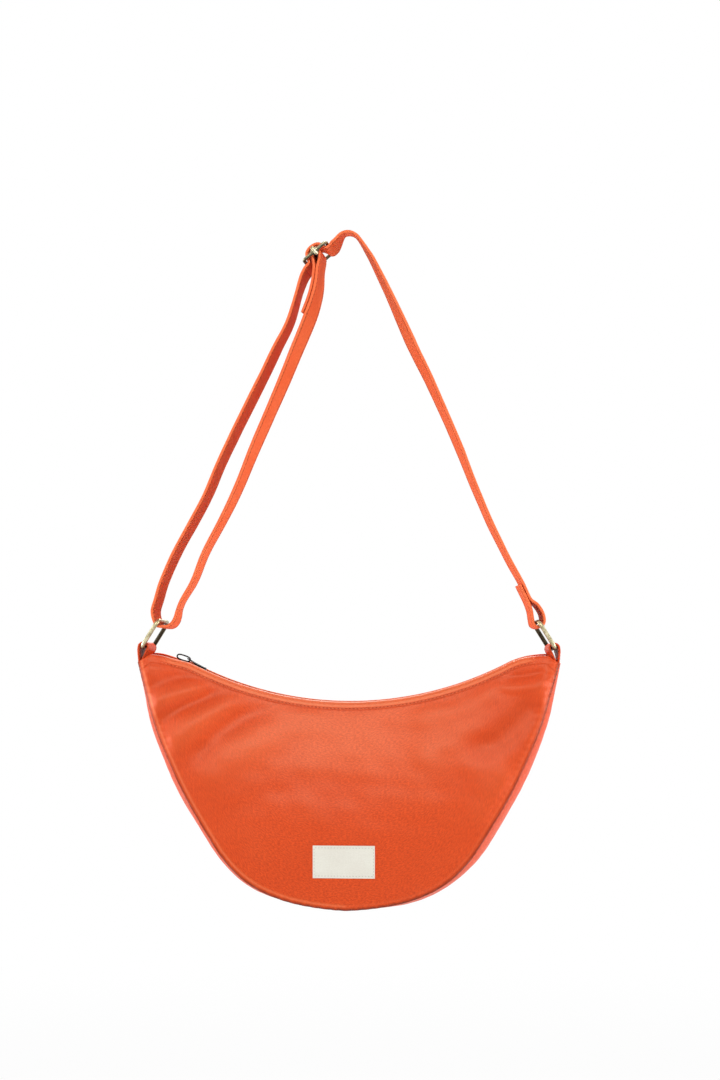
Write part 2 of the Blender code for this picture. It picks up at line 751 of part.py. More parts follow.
def end_loop_points():
    # Up from the inner run, over the centre bar and down again as the sewn tail, bowed to the right
    centre = slider_axes()[0]
    target = np.array(route(INNER_RUN_SHARES[:1], -1)[0])
    down = (target - centre) / np.linalg.norm(target - centre)
    right = np.array([-down[1], down[0]])
    wrap, layer = BAR_WRAP_RADIUS, LAYER_STEP / 2
    places = (
        (layer, END_LOOP_LENGTH),
        (layer, END_LOOP_LENGTH * 0.72),
        (layer, END_LOOP_LENGTH * 0.48),
        (layer, END_LOOP_LENGTH * 0.24),
        (wrap * 0.86, wrap * 1.5),
        (wrap, 0.0),
        (wrap * 0.72, -wrap * 0.72),
        (0.0, -wrap * 1.02),
        (-wrap * 0.72, -wrap * 0.72),
        (-wrap, 0.0),
        (-wrap * 0.86, wrap * 1.5),
        (-layer, END_LOOP_LENGTH * 0.24),
        (-layer, END_LOOP_LENGTH * 0.48),
        (-layer, END_LOOP_LENGTH * 0.72),
        (-layer, END_LOOP_LENGTH),
    )
    points = []
    for s, d in places:
        bow = END_LOOP_BOW * math.sin(math.pi * max(d, 0) / END_LOOP_LENGTH)
        points.append(centre + right * (s + bow) + down * d)
    return points


def hang_flat_points():
    return [(HANG_FLAT * share, STRAP_LINE_Z) for share in (-1.0, -0.5, 0.0, 0.5, 1.0)]


def flattened(path, reach):
    # The part of the apex within the reach of the hang point, laid exactly level
    path = path.copy()
    path[np.abs(path[:, 0]) <= reach, 1] = STRAP_LINE_Z
    return path


def add_right_strap(bodies):
    flat = hang_flat_points()
    loop_points = right_loop_points()
    shoulder = route(RIGHT_TOP_SHARES, 1)
    top, run, loop = smooth_sections(
        [
            [*flat, *shoulder],
            [shoulder[-1], *route(RIGHT_RUN_SHARES, 1), loop_points[0]],
            loop_points,
        ],
        (16, 21, 46),
    )
    straight = np.array([0.0, -1.0, 0.0])
    outward = (math.cos(RING_LEAN), math.sin(RING_LEAN))
    twisted = [(share, leaned(1, deg, outward)) for share, deg in RIGHT_RUN_TWISTS_DEG]
    flat_share = 2.5 * HANG_FLAT / np.linalg.norm(np.diff(top, axis=0), axis=1).sum()
    directions = [(0, straight), (flat_share, straight), (1, twisted[0][1])]
    strap("strap_top", gap_ends(flattened(top, HANG_FLAT * 1.3)), directions, bodies["strap"])
    strap("strap_right_run", gap_ends(run), twisted, bodies["strap"])
    strap("strap_right_loop", gap_ends(loop, end=False), twisted[-1:], bodies["right_end"])


def add_left_strap(bodies):
    weave_places = weave_points()
    turn_centre = np.array([-RING_REACH, -STRAP_DROP])
    turn_places = [turn_centre + TURN_RADIUS * np.array(share) for share in TURN_SHARES]
    end_places = end_loop_points()
    feed, weave, outer, turn, inner, end_loop = smooth_sections(
        [
            [hang_flat_points()[0], *route(FEED_SHARES, -1), weave_places[0]],
            weave_places,
            [weave_places[-1], *route(OUTER_RUN_SHARES, -1), turn_places[0]],
            turn_places,
            [turn_places[-1], *route(INNER_RUN_SHARES[:0:-1], -1), end_places[0]],
            end_places,
        ],
        (14, 42, 25, 24, 21, 46),
    )
    straight = np.array([0.0, -1.0, 0.0])
    outward = (math.cos(RING_LEAN), math.sin(RING_LEAN))
    slider_normal = slider_axes()[2]
    at_slider = leaned(1, SLIDER_TWIST_DEG, slider_normal)
    at_ring = ring_width_direction(-1)
    after_ring = leaned(-1, INNER_RUN_TWIST_DEG, outward)
    at_end_loop = leaned(-1, END_LOOP_TWIST_DEG, outward)
    along_outer = leaned(-1, OUTER_RUN_TWIST_DEG, outward)
    feeding = leaned(1, FEED_TWIST_DEG, slider_normal)
    slider = bodies["strap_slider"]
    feed = flattened(feed, HANG_FLAT * 1.3)
    directions = [(0, straight), (FEED_TWIST_SHARE, feeding), (1, at_slider)]
    strap("strap_feed", gap_ends(feed), directions, bodies["strap"])
    strap("strap_weave", gap_ends(weave), [(0, at_slider), (1, at_slider)], slider)
    directions = [(0, at_slider), (OUTER_TWIST_SHARE, along_outer), (1, at_ring)]
    strap("strap_outer_run", gap_ends(outer), directions, slider)
    directions = [(0, at_ring), (TURN_TWIST_SHARE, at_ring), (1, after_ring)]
    strap("strap_left_turn", gap_ends(turn), directions, bodies["left_end"])
    strap("strap_inner_run", gap_ends(inner), [(0, after_ring), (1, at_end_loop)], slider)
    first, last = END_LOOP_TWIST_SHARES
    directions = [(0, at_end_loop), (first, at_slider), (last, at_slider), (1, at_end_loop)]
    strap("strap_end_loop", gap_ends(end_loop, end=False), directions, slider)


def add_strap_slider(pivot):
    centre, along, normal = slider_axes()
    width = leaned(1, SLIDER_TWIST_DEG, normal)
    matrix = frame_matrix(width, (along[0], 0, along[1]), (0, 0, 0))
    points = rounded_rectangle(
        SLIDER_LENGTH - SLIDER_WIRE, SLIDER_INNER_WIDTH + SLIDER_WIRE, SLIDER_CORNER, 4
    )
    frame = wire_curve("slider_frame", points, SLIDER_WIRE / 2, pivot, True)
    frame.matrix_basis = matrix
    add_material(frame, BRASS_COLOUR, 0.35, 1.0)

    rail = (SLIDER_INNER_WIDTH + SLIDER_WIRE) / 2
    mesh = cylinder_mesh("slider_bar", SLIDER_BAR / 2, -rail, rail, "X", (0, 0, 0))
    bar = link_object("slider_bar", mesh, pivot)
    bar.matrix_basis = matrix
    half = SLIDER_COLLAR_LENGTH / 2
    for name, side in (("near", 1), ("far", -1)):
        place = (side * rail, 0, 0)
        collar = cylinder_mesh("collar_" + name, SLIDER_COLLAR / 2, -half, half, "Y", place)
        boolean(bar, add_helper("collar_" + name, collar, bar), "UNION")
    bore_radius = SLIDER_WIRE / 2 + CLEARANCE
    for name, side in (("near", 1), ("far", -1)):
        place = (side * rail, 0, 0)
        bore = cylinder_mesh("bore_" + name, bore_radius, -2 * half, 2 * half, "Y", place)
        boolean(bar, add_helper("bore_" + name, bore, bar), "DIFFERENCE")
    add_material(bar, BRASS_COLOUR, 0.3, 1.0)


def tab_points(side):
    # Up from the tip, over the ring's tab bar and back down, closed at its foot
    bar = np.array([side * TAB_REACH, TAB_BAR_Z])
    foot = bar + (side * TAB_FOOT_OUT, -TAB_FOOT_DROP)
    radius = RING_WIRE / 2 + TAB_SLACK + TAB_THICKNESS / 2
    layer = TAB_THICKNESS / 2 + CLEARANCE
    out = np.array([side, 0.0])
    up = np.array([0.0, 1.0])
    return [
        foot - out * layer,
        foot - out * layer + up * radius * 0.3,
        bar - out * radius * 0.95 - up * radius * 0.55,
        bar - out * radius * 0.92 + up * radius * 0.55,
        bar + up * radius * 1.02,
        bar + out * radius * 0.92 + up * radius * 0.55,
        bar + out * radius * 1.18 - up * radius * 0.55,
        foot + out * layer + up * radius * 0.3,
        foot + out * layer,
    ]


def add_tab(name, side, bag):
    straight = np.array([0.0, -1.0, 0.0])
    leaning = ring_width_direction(side)
    first, last = TAB_LEAN_SHARES
    directions = [(0, straight), (first, leaning), (last, leaning), (1, straight)]
    path = smooth_path(tab_points(side), 29)
    ribbon(name, path, directions, TAB_WIDTH, TAB_THICKNESS, bag)


def add_zip_ends(bag):
    start = (ZIP_RADIUS + TEETH_SINK + TEETH_HEIGHT) * math.sin(STOP_END_ANGLE) + 2 * CLEARANCE
    leg = np.array(tab_points(1)[1:3])
    height = TIP_Z + TIP_RISE
    reach = leg[0, 0] + (leg[1, 0] - leg[0, 0]) * (height - leg[0, 1]) / (leg[1, 1] - leg[0, 1])
    end = reach - TAB_THICKNESS - ZIP_END_GAP
    for name, side in (("zip_end_left", -1), ("zip_end_right", 1)):
        x = side * np.linspace(start, end, 9)
        z = top_edge(x) - CANVAS / 2 - ZIP_END_SINK
        half = panel_depth(x, z) - CANVAS / 2 - 3 * CLEARANCE
        w = np.linspace(-1, 1, 3)[:, None]
        grid = np.stack([np.broadcast_to(x, (3, 9)), half * w, np.broadcast_to(z, (3, 9))], axis=2)
        add_material(sheet(name, grid, CANVAS, bag), CANVAS_COLOUR, 0.85)
    for name, side in (("zip_stop_left", -1), ("zip_stop_right", 1)):
        angle = side * (STOP_START_ANGLE + STOP_END_ANGLE) / 2
        point, tangent, normal = zip_frame(angle)
        half_width = TEETH_INNER + TEETH_WIDTH
        mesh = box_mesh(
            name,
            (-STOP_LENGTH / 2, -half_width, -TEETH_SINK - TEETH_HEIGHT),
            (STOP_LENGTH / 2, half_width, STOP_OVERHANG - TEETH_SINK),
        )
        stop = link_object(name, mesh, bag)
        place = Vector((point[0], 0, point[1])) - Vector(bag["world_place"])
        stop.matrix_basis = frame_matrix((tangent[0], 0, tangent[1]), (0, 1, 0), place)
        bevel = stop.modifiers.new("Edges", "BEVEL")
        bevel.width = STOP_LENGTH / 5
        bevel.segments = 2
        add_material(stop, GUNMETAL_COLOUR, 0.4, 0.9)


def add_label(bag):
    # A woven patch laid on the front panel, its face following the panel
    x = np.linspace(-LABEL_WIDTH / 2, LABEL_WIDTH / 2, 9) + LABEL_OFFSET_X
    z = BAG_LOW_Z + LABEL_ABOVE_BOTTOM + np.linspace(LABEL_HEIGHT, 0, 5)[:, None]
    y = panel_depth(x, z)
    grid = np.stack([np.broadcast_to(x, y.shape), -y, np.broadcast_to(z, y.shape)], axis=2)
    grid -= surface_normals(grid) * (CANVAS / 2 + 1.5 * CLEARANCE + LABEL_THICKNESS / 2)
    add_material(sheet("label", grid, LABEL_THICKNESS, bag), LABEL_COLOUR, 0.9)


def zip_slider_matrix(angle, height, pivot):
    point, tangent, normal = zip_frame(angle)
    spot = point + normal * height
    place = Vector((spot[0], 0, spot[1])) - Vector(pivot["world_place"])
    return frame_matrix((tangent[0], 0, tangent[1]), (0, 1, 0), place)


def add_zip_slider(pivot):
    # Two plates over and under the teeth, joined by a thin wedge between them, and a bail on top
    upper = -TEETH_SINK + CLEARANCE
    lower = -TEETH_SINK - TEETH_HEIGHT - CLEARANCE
    half_length, half_width = ZIP_SLIDER_LENGTH / 2, ZIP_SLIDER_WIDTH / 2
    matrix = zip_slider_matrix(-ZIP_REST_ANGLE, 0.0, pivot)
    mesh = box_mesh(
        "zip_slider_body",
        (-half_length, -half_width, upper),
        (half_length, half_width, upper + ZIP_SLIDER_PLATE),
    )
    body = link_object("zip_slider_body", mesh, pivot)
    body.matrix_basis = matrix
    bevel = body.modifiers.new("Edges", "BEVEL")
    bevel.width = ZIP_SLIDER_EDGE
    bevel.segments = 2
    under = box_mesh(
        "slider_under_plate",
        (-half_length, -half_width * 0.9, lower - ZIP_SLIDER_PLATE),
        (half_length, half_width * 0.9, lower),
    )
    boolean(body, add_helper("slider_under_plate", under, body), "UNION")
    wedge_half = TEETH_INNER - CLEARANCE
    wedge = box_mesh(
        "slider_wedge",
        (-half_length * 0.8, -wedge_half, lower - ZIP_SLIDER_PLATE / 2),
        (half_length * 0.3, wedge_half, upper + ZIP_SLIDER_PLATE / 2),
    )
    boolean(body, add_helper("slider_wedge", wedge, body), "UNION")
    foot = upper + ZIP_SLIDER_PLATE - BAIL_SINK
    corner = BAIL_WIRE
    bail_points = [
        (0, -BAIL_HALF_SPAN, foot),
        (0, -BAIL_HALF_SPAN, PULL_PIVOT_Z - corner),
        (0, -BAIL_HALF_SPAN + corner * 0.3, PULL_PIVOT_Z - corner * 0.3),
        (0, -BAIL_HALF_SPAN + corner, PULL_PIVOT_Z),
        (0, BAIL_HALF_SPAN - corner, PULL_PIVOT_Z),
        (0, BAIL_HALF_SPAN - corner * 0.3, PULL_PIVOT_Z - corner * 0.3),
        (0, BAIL_HALF_SPAN, PULL_PIVOT_Z - corner),
        (0, BAIL_HALF_SPAN, foot),
    ]
    bail_curve = wire_curve("slider_bail", bail_points, BAIL_WIRE / 2, pivot, False)
    bail = bpy.data.meshes.new_from_object(bail_curve)
    bpy.data.objects.remove(bail_curve, do_unlink=True)
    boolean(body, add_helper("slider_bail", closed_mesh(bail), body), "UNION")
    add_material(body, GUNMETAL_COLOUR, 0.35, 0.9)


def closed_mesh(mesh):
    # Joins a tube's caps to its sides and turns its faces outward
    bm = bmesh.new()
    bm.from_mesh(mesh)
    bmesh.ops.remove_doubles(bm, verts=bm.verts, dist=CLEARANCE / 100)
    bmesh.ops.recalc_face_normals(bm, faces=bm.faces)
    bm.to_mesh(mesh)
    bm.free()
    return mesh


def pull_direction():
    # Along the pull from its pivot, towards the left tip, and its upward normal
    angle = -ZIP_REST_ANGLE
    rise = math.radians(PULL_RISE_DEG)
    _, tangent, normal = zip_frame(angle)
    along = -tangent * math.cos(rise) + normal * math.sin(rise)
    return along, np.array([along[1], -along[0]])


def pull_pivot_place():
    point, _, normal = zip_frame(-ZIP_REST_ANGLE)
    return point + normal * PULL_PIVOT_Z


def ring_pivot_place():
    along, _ = pull_direction()
    return pull_pivot_place() + along * (PULL_LENGTH - PULL_HOLE_EDGE)


def add_pull(pivot):
    # A barrel round the bail, a flat tongue and a hole for the wire ring near its end
    along, _ = pull_direction()
    matrix = frame_matrix((along[0], 0, along[1]), (0, -1, 0), (0, 0, 0))
    half = PULL_WIDTH / 2
    mesh = box_mesh("zip_pull", (0, -half, -PULL_PLATE / 2), (PULL_LENGTH, half, PULL_PLATE / 2))
    pull = link_object("zip_pull", mesh, pivot)
    pull.matrix_basis = matrix
    bevel = pull.modifiers.new("Edges", "BEVEL")
    bevel.width = PULL_PLATE / 5
    bevel.segments = 1
    barrel = cylinder_mesh("pull_barrel", PULL_BARREL / 2, -half, half, "Y", (0, 0, 0), 20)
    boolean(pull, add_helper("pull_barrel", barrel, pull), "UNION")
    bore_radius = BAIL_WIRE / 2 + CLEARANCE
    bore = cylinder_mesh("pull_bore", bore_radius, -2 * half, 2 * half, "Y", (0, 0, 0), 20)
    boolean(pull, add_helper("pull_bore", bore, pull), "DIFFERENCE")
    place = (PULL_LENGTH - PULL_HOLE_EDGE, 0, 0)
    hole = cylinder_mesh("pull_hole", PULL_HOLE / 2, -PULL_PLATE, PULL_PLATE, "Z", place, 16)
    boolean(pull, add_helper("pull_hole", hole, pull), "DIFFERENCE")
    add_material(pull, GUNMETAL_COLOUR, 0.35, 0.9)


def add_pull_ring(pivot):
    # A long oval wire ring through the tongue's hole, its plane across the tongue's faces. Its
    # shape is a superellipse: sine and cosine are raised to a power below one.
    along, up = pull_direction()
    droop = math.radians(PULL_RING_DROOP_DEG)
    direction = along * math.cos(droop) - up * math.sin(droop)
    reach = PULL_RING_LENGTH / 2
    power = 2 / PULL_RING_SQUARENESS
    points = []
    for k in range(28):
        angle = 2 * math.pi * k / 28
        ahead = math.copysign(abs(math.cos(angle)) ** power, math.cos(angle))
        aside = math.copysign(abs(math.sin(angle)) ** power, math.sin(angle))
        points.append((reach - reach * ahead, PULL_RING_HEIGHT / 2 * aside, 0))
    ring = wire_curve("pull_ring", points, PULL_RING_WIRE / 2, pivot, True, 2)
    roll = math.radians(PULL_RING_ROLL_DEG)
    across = Vector((direction[1], 0, -direction[0])) * math.cos(roll)
    across.y = math.sin(roll)
    ring.matrix_basis = frame_matrix((direction[0], 0, direction[1]), across, (0, 0, 0))
    add_material(ring, GUNMETAL_COLOUR, 0.35, 0.9)


def build():
    clear_scene()
    centre = slider_axes()[0]
    strap_body = add_pivot("hang_point", (0.0, 0.0, 0.0))
    slider = add_pivot("strap_slider_track", (centre[0], 0.0, centre[1]), strap_body)
    left_end = add_pivot("left_end_track", (-RING_REACH, 0.0, -STRAP_DROP), slider)
    right_end = add_pivot("right_end_track", (RING_REACH, 0.0, -STRAP_DROP), strap_body)
    left_ring = add_pivot("left_ring_pivot", (-RING_REACH, 0.0, -STRAP_DROP), left_end)
    bag = add_pivot("bag_pivot", (-TAB_REACH, 0.0, TAB_BAR_Z), left_ring)
    right_ring = add_pivot("right_ring_pivot", (TAB_REACH, 0.0, TAB_BAR_Z), bag)
    zip_slider = add_pivot("zip_arc_centre", (0.0, 0.0, ZIP_CENTRE_Z), bag)
    place = pull_pivot_place()
    pull = add_pivot("pull_pivot", (place[0], 0.0, place[1]), zip_slider)
    place = ring_pivot_place()
    pull_ring = add_pivot("pull_ring_pivot", (place[0], 0.0, place[1]), pull)

    add_right_strap({"strap": strap_body, "right_end": right_end})
    add_left_strap({"strap": strap_body, "strap_slider": slider, "left_end": left_end})
    add_strap_slider(slider)
    add_ring("left_ring", -1, left_ring)
    add_ring("right_ring", 1, right_ring)
    add_panels(bag)
    add_linings(bag)
    add_zip(bag)
    add_zip_ends(bag)
    add_tab("left_tab", -1, bag)
    add_tab("right_tab", 1, bag)
    add_label(bag)
    add_zip_slider(zip_slider)
    add_pull(pull)
    add_pull_ring(pull_ring)


build()
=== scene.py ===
# A half-moon canvas bag hanging by its strap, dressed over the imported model
import math

import bpy
import numpy as np
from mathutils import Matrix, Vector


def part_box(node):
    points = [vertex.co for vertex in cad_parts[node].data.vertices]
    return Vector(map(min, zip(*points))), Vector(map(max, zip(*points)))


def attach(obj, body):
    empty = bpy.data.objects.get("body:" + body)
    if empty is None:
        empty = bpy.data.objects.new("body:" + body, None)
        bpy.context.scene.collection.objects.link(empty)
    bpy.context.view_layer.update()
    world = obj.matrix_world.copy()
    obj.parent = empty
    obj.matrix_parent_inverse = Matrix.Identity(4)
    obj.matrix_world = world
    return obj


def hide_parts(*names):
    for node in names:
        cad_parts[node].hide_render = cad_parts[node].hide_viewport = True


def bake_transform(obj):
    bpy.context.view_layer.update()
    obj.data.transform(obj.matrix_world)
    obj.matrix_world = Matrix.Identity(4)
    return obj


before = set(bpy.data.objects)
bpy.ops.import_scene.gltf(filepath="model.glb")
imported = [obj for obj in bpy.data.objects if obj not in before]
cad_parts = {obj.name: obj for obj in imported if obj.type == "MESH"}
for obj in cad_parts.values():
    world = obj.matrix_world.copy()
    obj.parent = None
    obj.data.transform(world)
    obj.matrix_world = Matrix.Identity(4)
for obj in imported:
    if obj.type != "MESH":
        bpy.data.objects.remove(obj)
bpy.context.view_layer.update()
print("frame loaded,", len(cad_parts), "nodes")


# Arrays and curves

def unit(v):
    return v / np.maximum(np.linalg.norm(v, axis=-1, keepdims=True), 1e-12)


def ease(t):
    t = np.clip(t, 0.0, 1.0)
    return t * t * (3 - 2 * t)


def hump(distance, width):
    # a bell: e to the power of minus the squared distance over the squared width
    return np.exp(-((distance / width) ** 2))


spanSteps = 24


def smoothCurve(points, steps=spanSteps):
    # Catmull-Rom: each span is half of 2b + (c-a)t + (2a-5b+4c-d)t2 + (3b-a-3c+d)t3
    p = np.array(points, float)
    p = np.vstack([2 * p[0] - p[1], p, 2 * p[-1] - p[-2]])
    t = np.linspace(0, 1, steps, endpoint=False)[None, :, None]
    a, b, c, d = (p[k : len(p) - 3 + k, None] for k in range(4))
    spans = 0.5 * (
        2 * b + (c - a) * t + (2 * a - 5 * b + 4 * c - d) * t**2 + (3 * b - a - 3 * c + d) * t**3
    )
    return np.vstack([spans.reshape(-1, p.shape[1]), p[-2:-1]])


def wayAlong(curve):
    return np.concatenate([[0], np.cumsum(np.linalg.norm(np.diff(curve, axis=0), axis=1))])


def readAt(wanted, way, rows):
    # each column of the rows, read at the wanted places along their way
    return np.stack([np.interp(wanted, way, column) for column in rows.T], axis=1)


def equalSteps(curve, count):
    way = wayAlong(curve)
    return readAt(np.linspace(0, way[-1], count), way, curve)


def signedPower(value, power):
    return np.sign(value) * np.abs(value) ** power


def smoothTable(table, places):
    # a cubic through (place, value) pairs, with the slope at each pair taken from its neighbours
    xs, ys = np.array(table, float).T
    index = np.clip(np.searchsorted(xs, places, side="right") - 1, 0, len(xs) - 2)
    slope = np.gradient(ys, xs)
    width = xs[index + 1] - xs[index]
    t = (places - xs[index]) / width
    return (
        ys[index] * (1 + 2 * t) * (1 - t) ** 2
        + ys[index + 1] * t**2 * (3 - 2 * t)
        + slope[index] * width * t * (1 - t) ** 2
        + slope[index + 1] * width * t**2 * (t - 1)
    )


def ripple(x, y, seed, scale):
    # smooth fixed unevenness: six sine waves in directions drawn from a seeded generator
    dice = np.random.default_rng(seed)
    total = np.zeros(np.broadcast(x, y).shape)
    for k in range(6):
        angle, phase = dice.uniform(0, math.pi), dice.uniform(0, 2 * math.pi)
        wave = scale * dice.uniform(0.6, 1.7)
        total += np.sin((x * math.cos(angle) + y * math.sin(angle)) * 2 * math.pi / wave + phase)
    return total / 6


# Mesh parts: a part is its points, its face arrays, their UVs and a material slot

def part(points, faces, uvs, slot=0):
    # the volume, summed from the origin to each face's triangles, is negative if faces look inward
    volume = 0.0
    for face in faces:
        first = points[face[:, 0]]
        for k in range(1, face.shape[1] - 1):
            turn = np.cross(points[face[:, k]], points[face[:, k + 1]])
            volume += float((first * turn).sum())
    if volume < 0:
        faces = [face[:, ::-1] for face in faces]
        uvs = [uv[:, ::-1] for uv in uvs]
    return {"points": points, "faces": faces, "uvs": uvs, "slot": slot, "paintedLightAndPatina": np.zeros(len(points))}


def makePiece(name, parts, materials):
    # whole arrays of points, corners and UVs go straight into one mesh, with smooth faces
    points = np.vstack([p["points"] for p in parts])
    start, corners, sizes, slots, uvs = 0, [], [], [], []
    for p in parts:
        for face, uv in zip(p["faces"], p["uvs"]):
            corners.append((face + start).ravel())
            sizes.append(np.full(len(face), face.shape[1]))
            slots.append(np.full(len(face), p["slot"]))
            uvs.append(uv.reshape(-1, 2))
        start += len(p["points"])
    corners, sizes, slots = np.concatenate(corners), np.concatenate(sizes), np.concatenate(slots)
    mesh = bpy.data.meshes.new(name)
    mesh.vertices.add(len(points))
    mesh.vertices.foreach_set("co", points.astype(np.float32).ravel())
    mesh.loops.add(len(corners))
    mesh.loops.foreach_set("vertex_index", corners.astype(np.int32))
    mesh.polygons.add(len(sizes))
    starts = np.concatenate([[0], np.cumsum(sizes)[:-1]])
    mesh.polygons.foreach_set("loop_start", starts.astype(np.int32))
    mesh.polygons.foreach_set("material_index", slots.astype(np.int32))
    mesh.polygons.foreach_set("use_smooth", np.ones(len(sizes), bool))
    paintedLightAndPatina = mesh.attributes.new("paintedLightAndPatina", "FLOAT", "POINT")
    paintedLightAndPatina.data.foreach_set("value", np.concatenate([p["paintedLightAndPatina"] for p in parts]).astype(np.float32))
    layer = mesh.uv_layers.new(name="cloth")
    layer.data.foreach_set("uv", np.vstack(uvs).astype(np.float32).ravel())
    mesh.update(calc_edges=True)
    mesh.validate()
    for material in materials:
        mesh.materials.append(material)
    piece = bpy.data.objects.new(name, mesh)
    bpy.context.scene.collection.objects.link(piece)
    return piece


def loft(rings, closed=False):
    # closed cross-sections joined in order; the ends are capped by pairing points i and n-1-i
    m, n = rings.shape[:2]
    if closed:
        rings = np.concatenate([rings, rings[:1]])
    i, j = np.arange(len(rings) - 1)[:, None], np.arange(n)[None]
    low, high = (i % m) * n, ((i + 1) % m) * n
    quads = np.stack([low + j, low + (j + 1) % n, high + (j + 1) % n, high + j], axis=-1)
    loop = np.concatenate([rings, rings[:, :1]], axis=1)
    around = np.linalg.norm(np.diff(loop, axis=1), axis=2).cumsum(axis=1)
    around = np.concatenate([np.zeros((len(rings), 1)), around], axis=1)
    along = wayAlong(rings.mean(axis=1))[:, None] + np.zeros(around.shape)
    uv = np.stack([around, along], axis=-1)
    corners = np.stack([uv[:-1, :-1], uv[:-1, 1:], uv[1:, 1:], uv[1:, :-1]], axis=2)
    faces, uvs = [quads.reshape(-1, 4)], [corners.reshape(-1, 4, 2)]
    if not closed:
        k = np.arange(n // 2 - 1)
        cap = np.stack([k, n - 1 - k, n - 2 - k, k + 1], axis=1)
        for ring, face in ((0, cap), (m - 1, (cap + (m - 1) * n)[:, ::-1])):
            faces.append(face)
            flat = rings[ring] - rings[ring].mean(axis=0)
            across = unit(rings[ring][0] - rings[ring][n // 2])
            spread = np.stack([flat @ across, np.linalg.norm(flat, axis=1)], axis=1)
            uvs.append(spread[face % n if ring == 0 else face - (m - 1) * n])
    return part(rings[:m].reshape(-1, 3), faces, uvs)


def gridNormals(grid):
    return unit(np.cross(np.gradient(grid, axis=1), np.gradient(grid, axis=0)))


def sheetPart(grid, thickness, rim=6, normals=None, paintedLightAndPatina=None):
    # a grid of rows by columns becomes two skins half a thickness to each side of it, joined at
    # the first and last row by half circles; the last argument holds each point's painted shade above
    # zero and painted highlight below zero
    normals = gridNormals(grid) if normals is None else normals
    half = normals * np.broadcast_to(np.asarray(thickness, float), grid.shape[:2])[..., None] / 2
    upper, lower = grid + half, grid - half
    turn = math.pi * (np.arange(rim) + 0.5) / rim

    def rimArc(row, neighbour):
        # from the upper skin round to the lower one
        out = unit(grid[row] - grid[neighbour]) * np.linalg.norm(half[row], axis=-1, keepdims=True)
        cosine, sine = np.cos(turn)[:, None, None], np.sin(turn)[:, None, None]
        return grid[row] + half[row] * cosine + out * sine

    first, last = rimArc(0, 1), rimArc(-1, -2)
    h = rim // 2
    rings = np.concatenate([first[:h][::-1], upper, last, lower[::-1], first[h:][::-1]])
    sheet = loft(np.swapaxes(rings, 0, 1))
    if paintedLightAndPatina is not None:
        around = [paintedLightAndPatina[:1].repeat(h, 0), paintedLightAndPatina, paintedLightAndPatina[-1:].repeat(rim, 0), paintedLightAndPatina[::-1],
                  paintedLightAndPatina[:1].repeat(rim - h, 0)]
        sheet["paintedLightAndPatina"] = np.concatenate(around).T.ravel()
    return sheet


def tubePart(path, radius, flat, sides, closed=False, dark=None, tone=(1.6, 0.35)):
    # a circle carried along a path; flat is a direction that the path never runs along
    path = np.asarray(path, float)
    if closed:
        tangent = unit(np.roll(path, -1, axis=0) - np.roll(path, 1, axis=0))
    else:
        tangent = unit(np.gradient(path, axis=0))
    side = unit(np.cross(tangent, np.broadcast_to(flat, path.shape)))
    up = np.cross(side, tangent)
    angle = 2 * math.pi * (np.arange(sides) + 0.5) / sides
    radius = np.broadcast_to(np.asarray(radius, float), (len(path),))[:, None, None]
    circle = side[:, None] * np.cos(angle)[:, None] + up[:, None] * np.sin(angle)[:, None]
    tube = loft(path[:, None] + circle * radius, closed)
    if dark is not None:
        # darkening lies on the side that looks towards this point: patina in a ring's middle, painted
        # shade when the point lies below a piece
        inward = unit(dark - path)
        tube["paintedLightAndPatina"] = ease((circle * inward[:, None]).sum(-1) * tone[0] + tone[1]).ravel()
    return tube


def stitchPart(places, tangents, normals, length, radius, slot=1, sides=6):
    # one short thread, a capsule whose ends dip into the cloth, copied to every place at once
    t = np.array([-1.0, -0.84, -0.45, 0.0, 0.45, 0.84, 1.0])
    swell = np.array([0.35, 0.8, 1.0, 1.0, 1.0, 0.8, 0.35]) * radius
    angle = 2 * math.pi * (np.arange(sides) + 0.5) / sides
    forward = np.repeat(t * length / 2, sides)
    side = (swell[:, None] * np.cos(angle)).ravel()
    up = (swell[:, None] * np.sin(angle)).ravel() - np.repeat(radius * 1.5 * t**4, sides)
    across = unit(np.cross(normals, tangents))
    lift = np.cross(tangents, across)
    points = (
        places[:, None]
        + unit(tangents)[:, None] * forward[:, None]
        + across[:, None] * side[:, None]
        + unit(lift)[:, None] * up[:, None]
    )
    i, j = np.arange(len(t) - 1)[:, None] * sides, np.arange(sides)[None]
    quads = np.stack([i + j, i + (j + 1) % sides, i + sides + (j + 1) % sides, i + sides + j], -1)
    quads = quads.reshape(-1, 4)
    last = (len(t) - 1) * sides
    caps = np.array([np.arange(sides)[::-1], last + np.arange(sides)])
    flatUv = np.stack([forward, np.repeat(angle[None], len(t), 0).ravel() * radius], axis=1)
    shift = (np.arange(len(places)) * len(t) * sides)[:, None, None]
    faces = [(quads[None] + shift).reshape(-1, 4), (caps[None] + shift).reshape(-1, sides)]
    uvs = [np.tile(flatUv[quads], (len(places), 1, 1)), np.tile(flatUv[caps], (len(places), 1, 1))]
    return part(points.reshape(-1, 3), faces, uvs, slot)


def stitchRow(path, normals, pitch, length, radius, lift):
    # threads at equal steps along a path that lies in a surface with these normals
    way = wayAlong(path)
    count = max(int(way[-1] / pitch), 1)
    middle = (np.arange(count) + 0.5) * way[-1] / count
    place = readAt(middle, way, path)
    tangent = unit(readAt(middle + pitch / 4, way, path) - readAt(middle - pitch / 4, way, path))
    normal = unit(readAt(middle, way, normals))
    return stitchPart(place + normal * lift, tangent, normal, length, radius)


# Shader maths

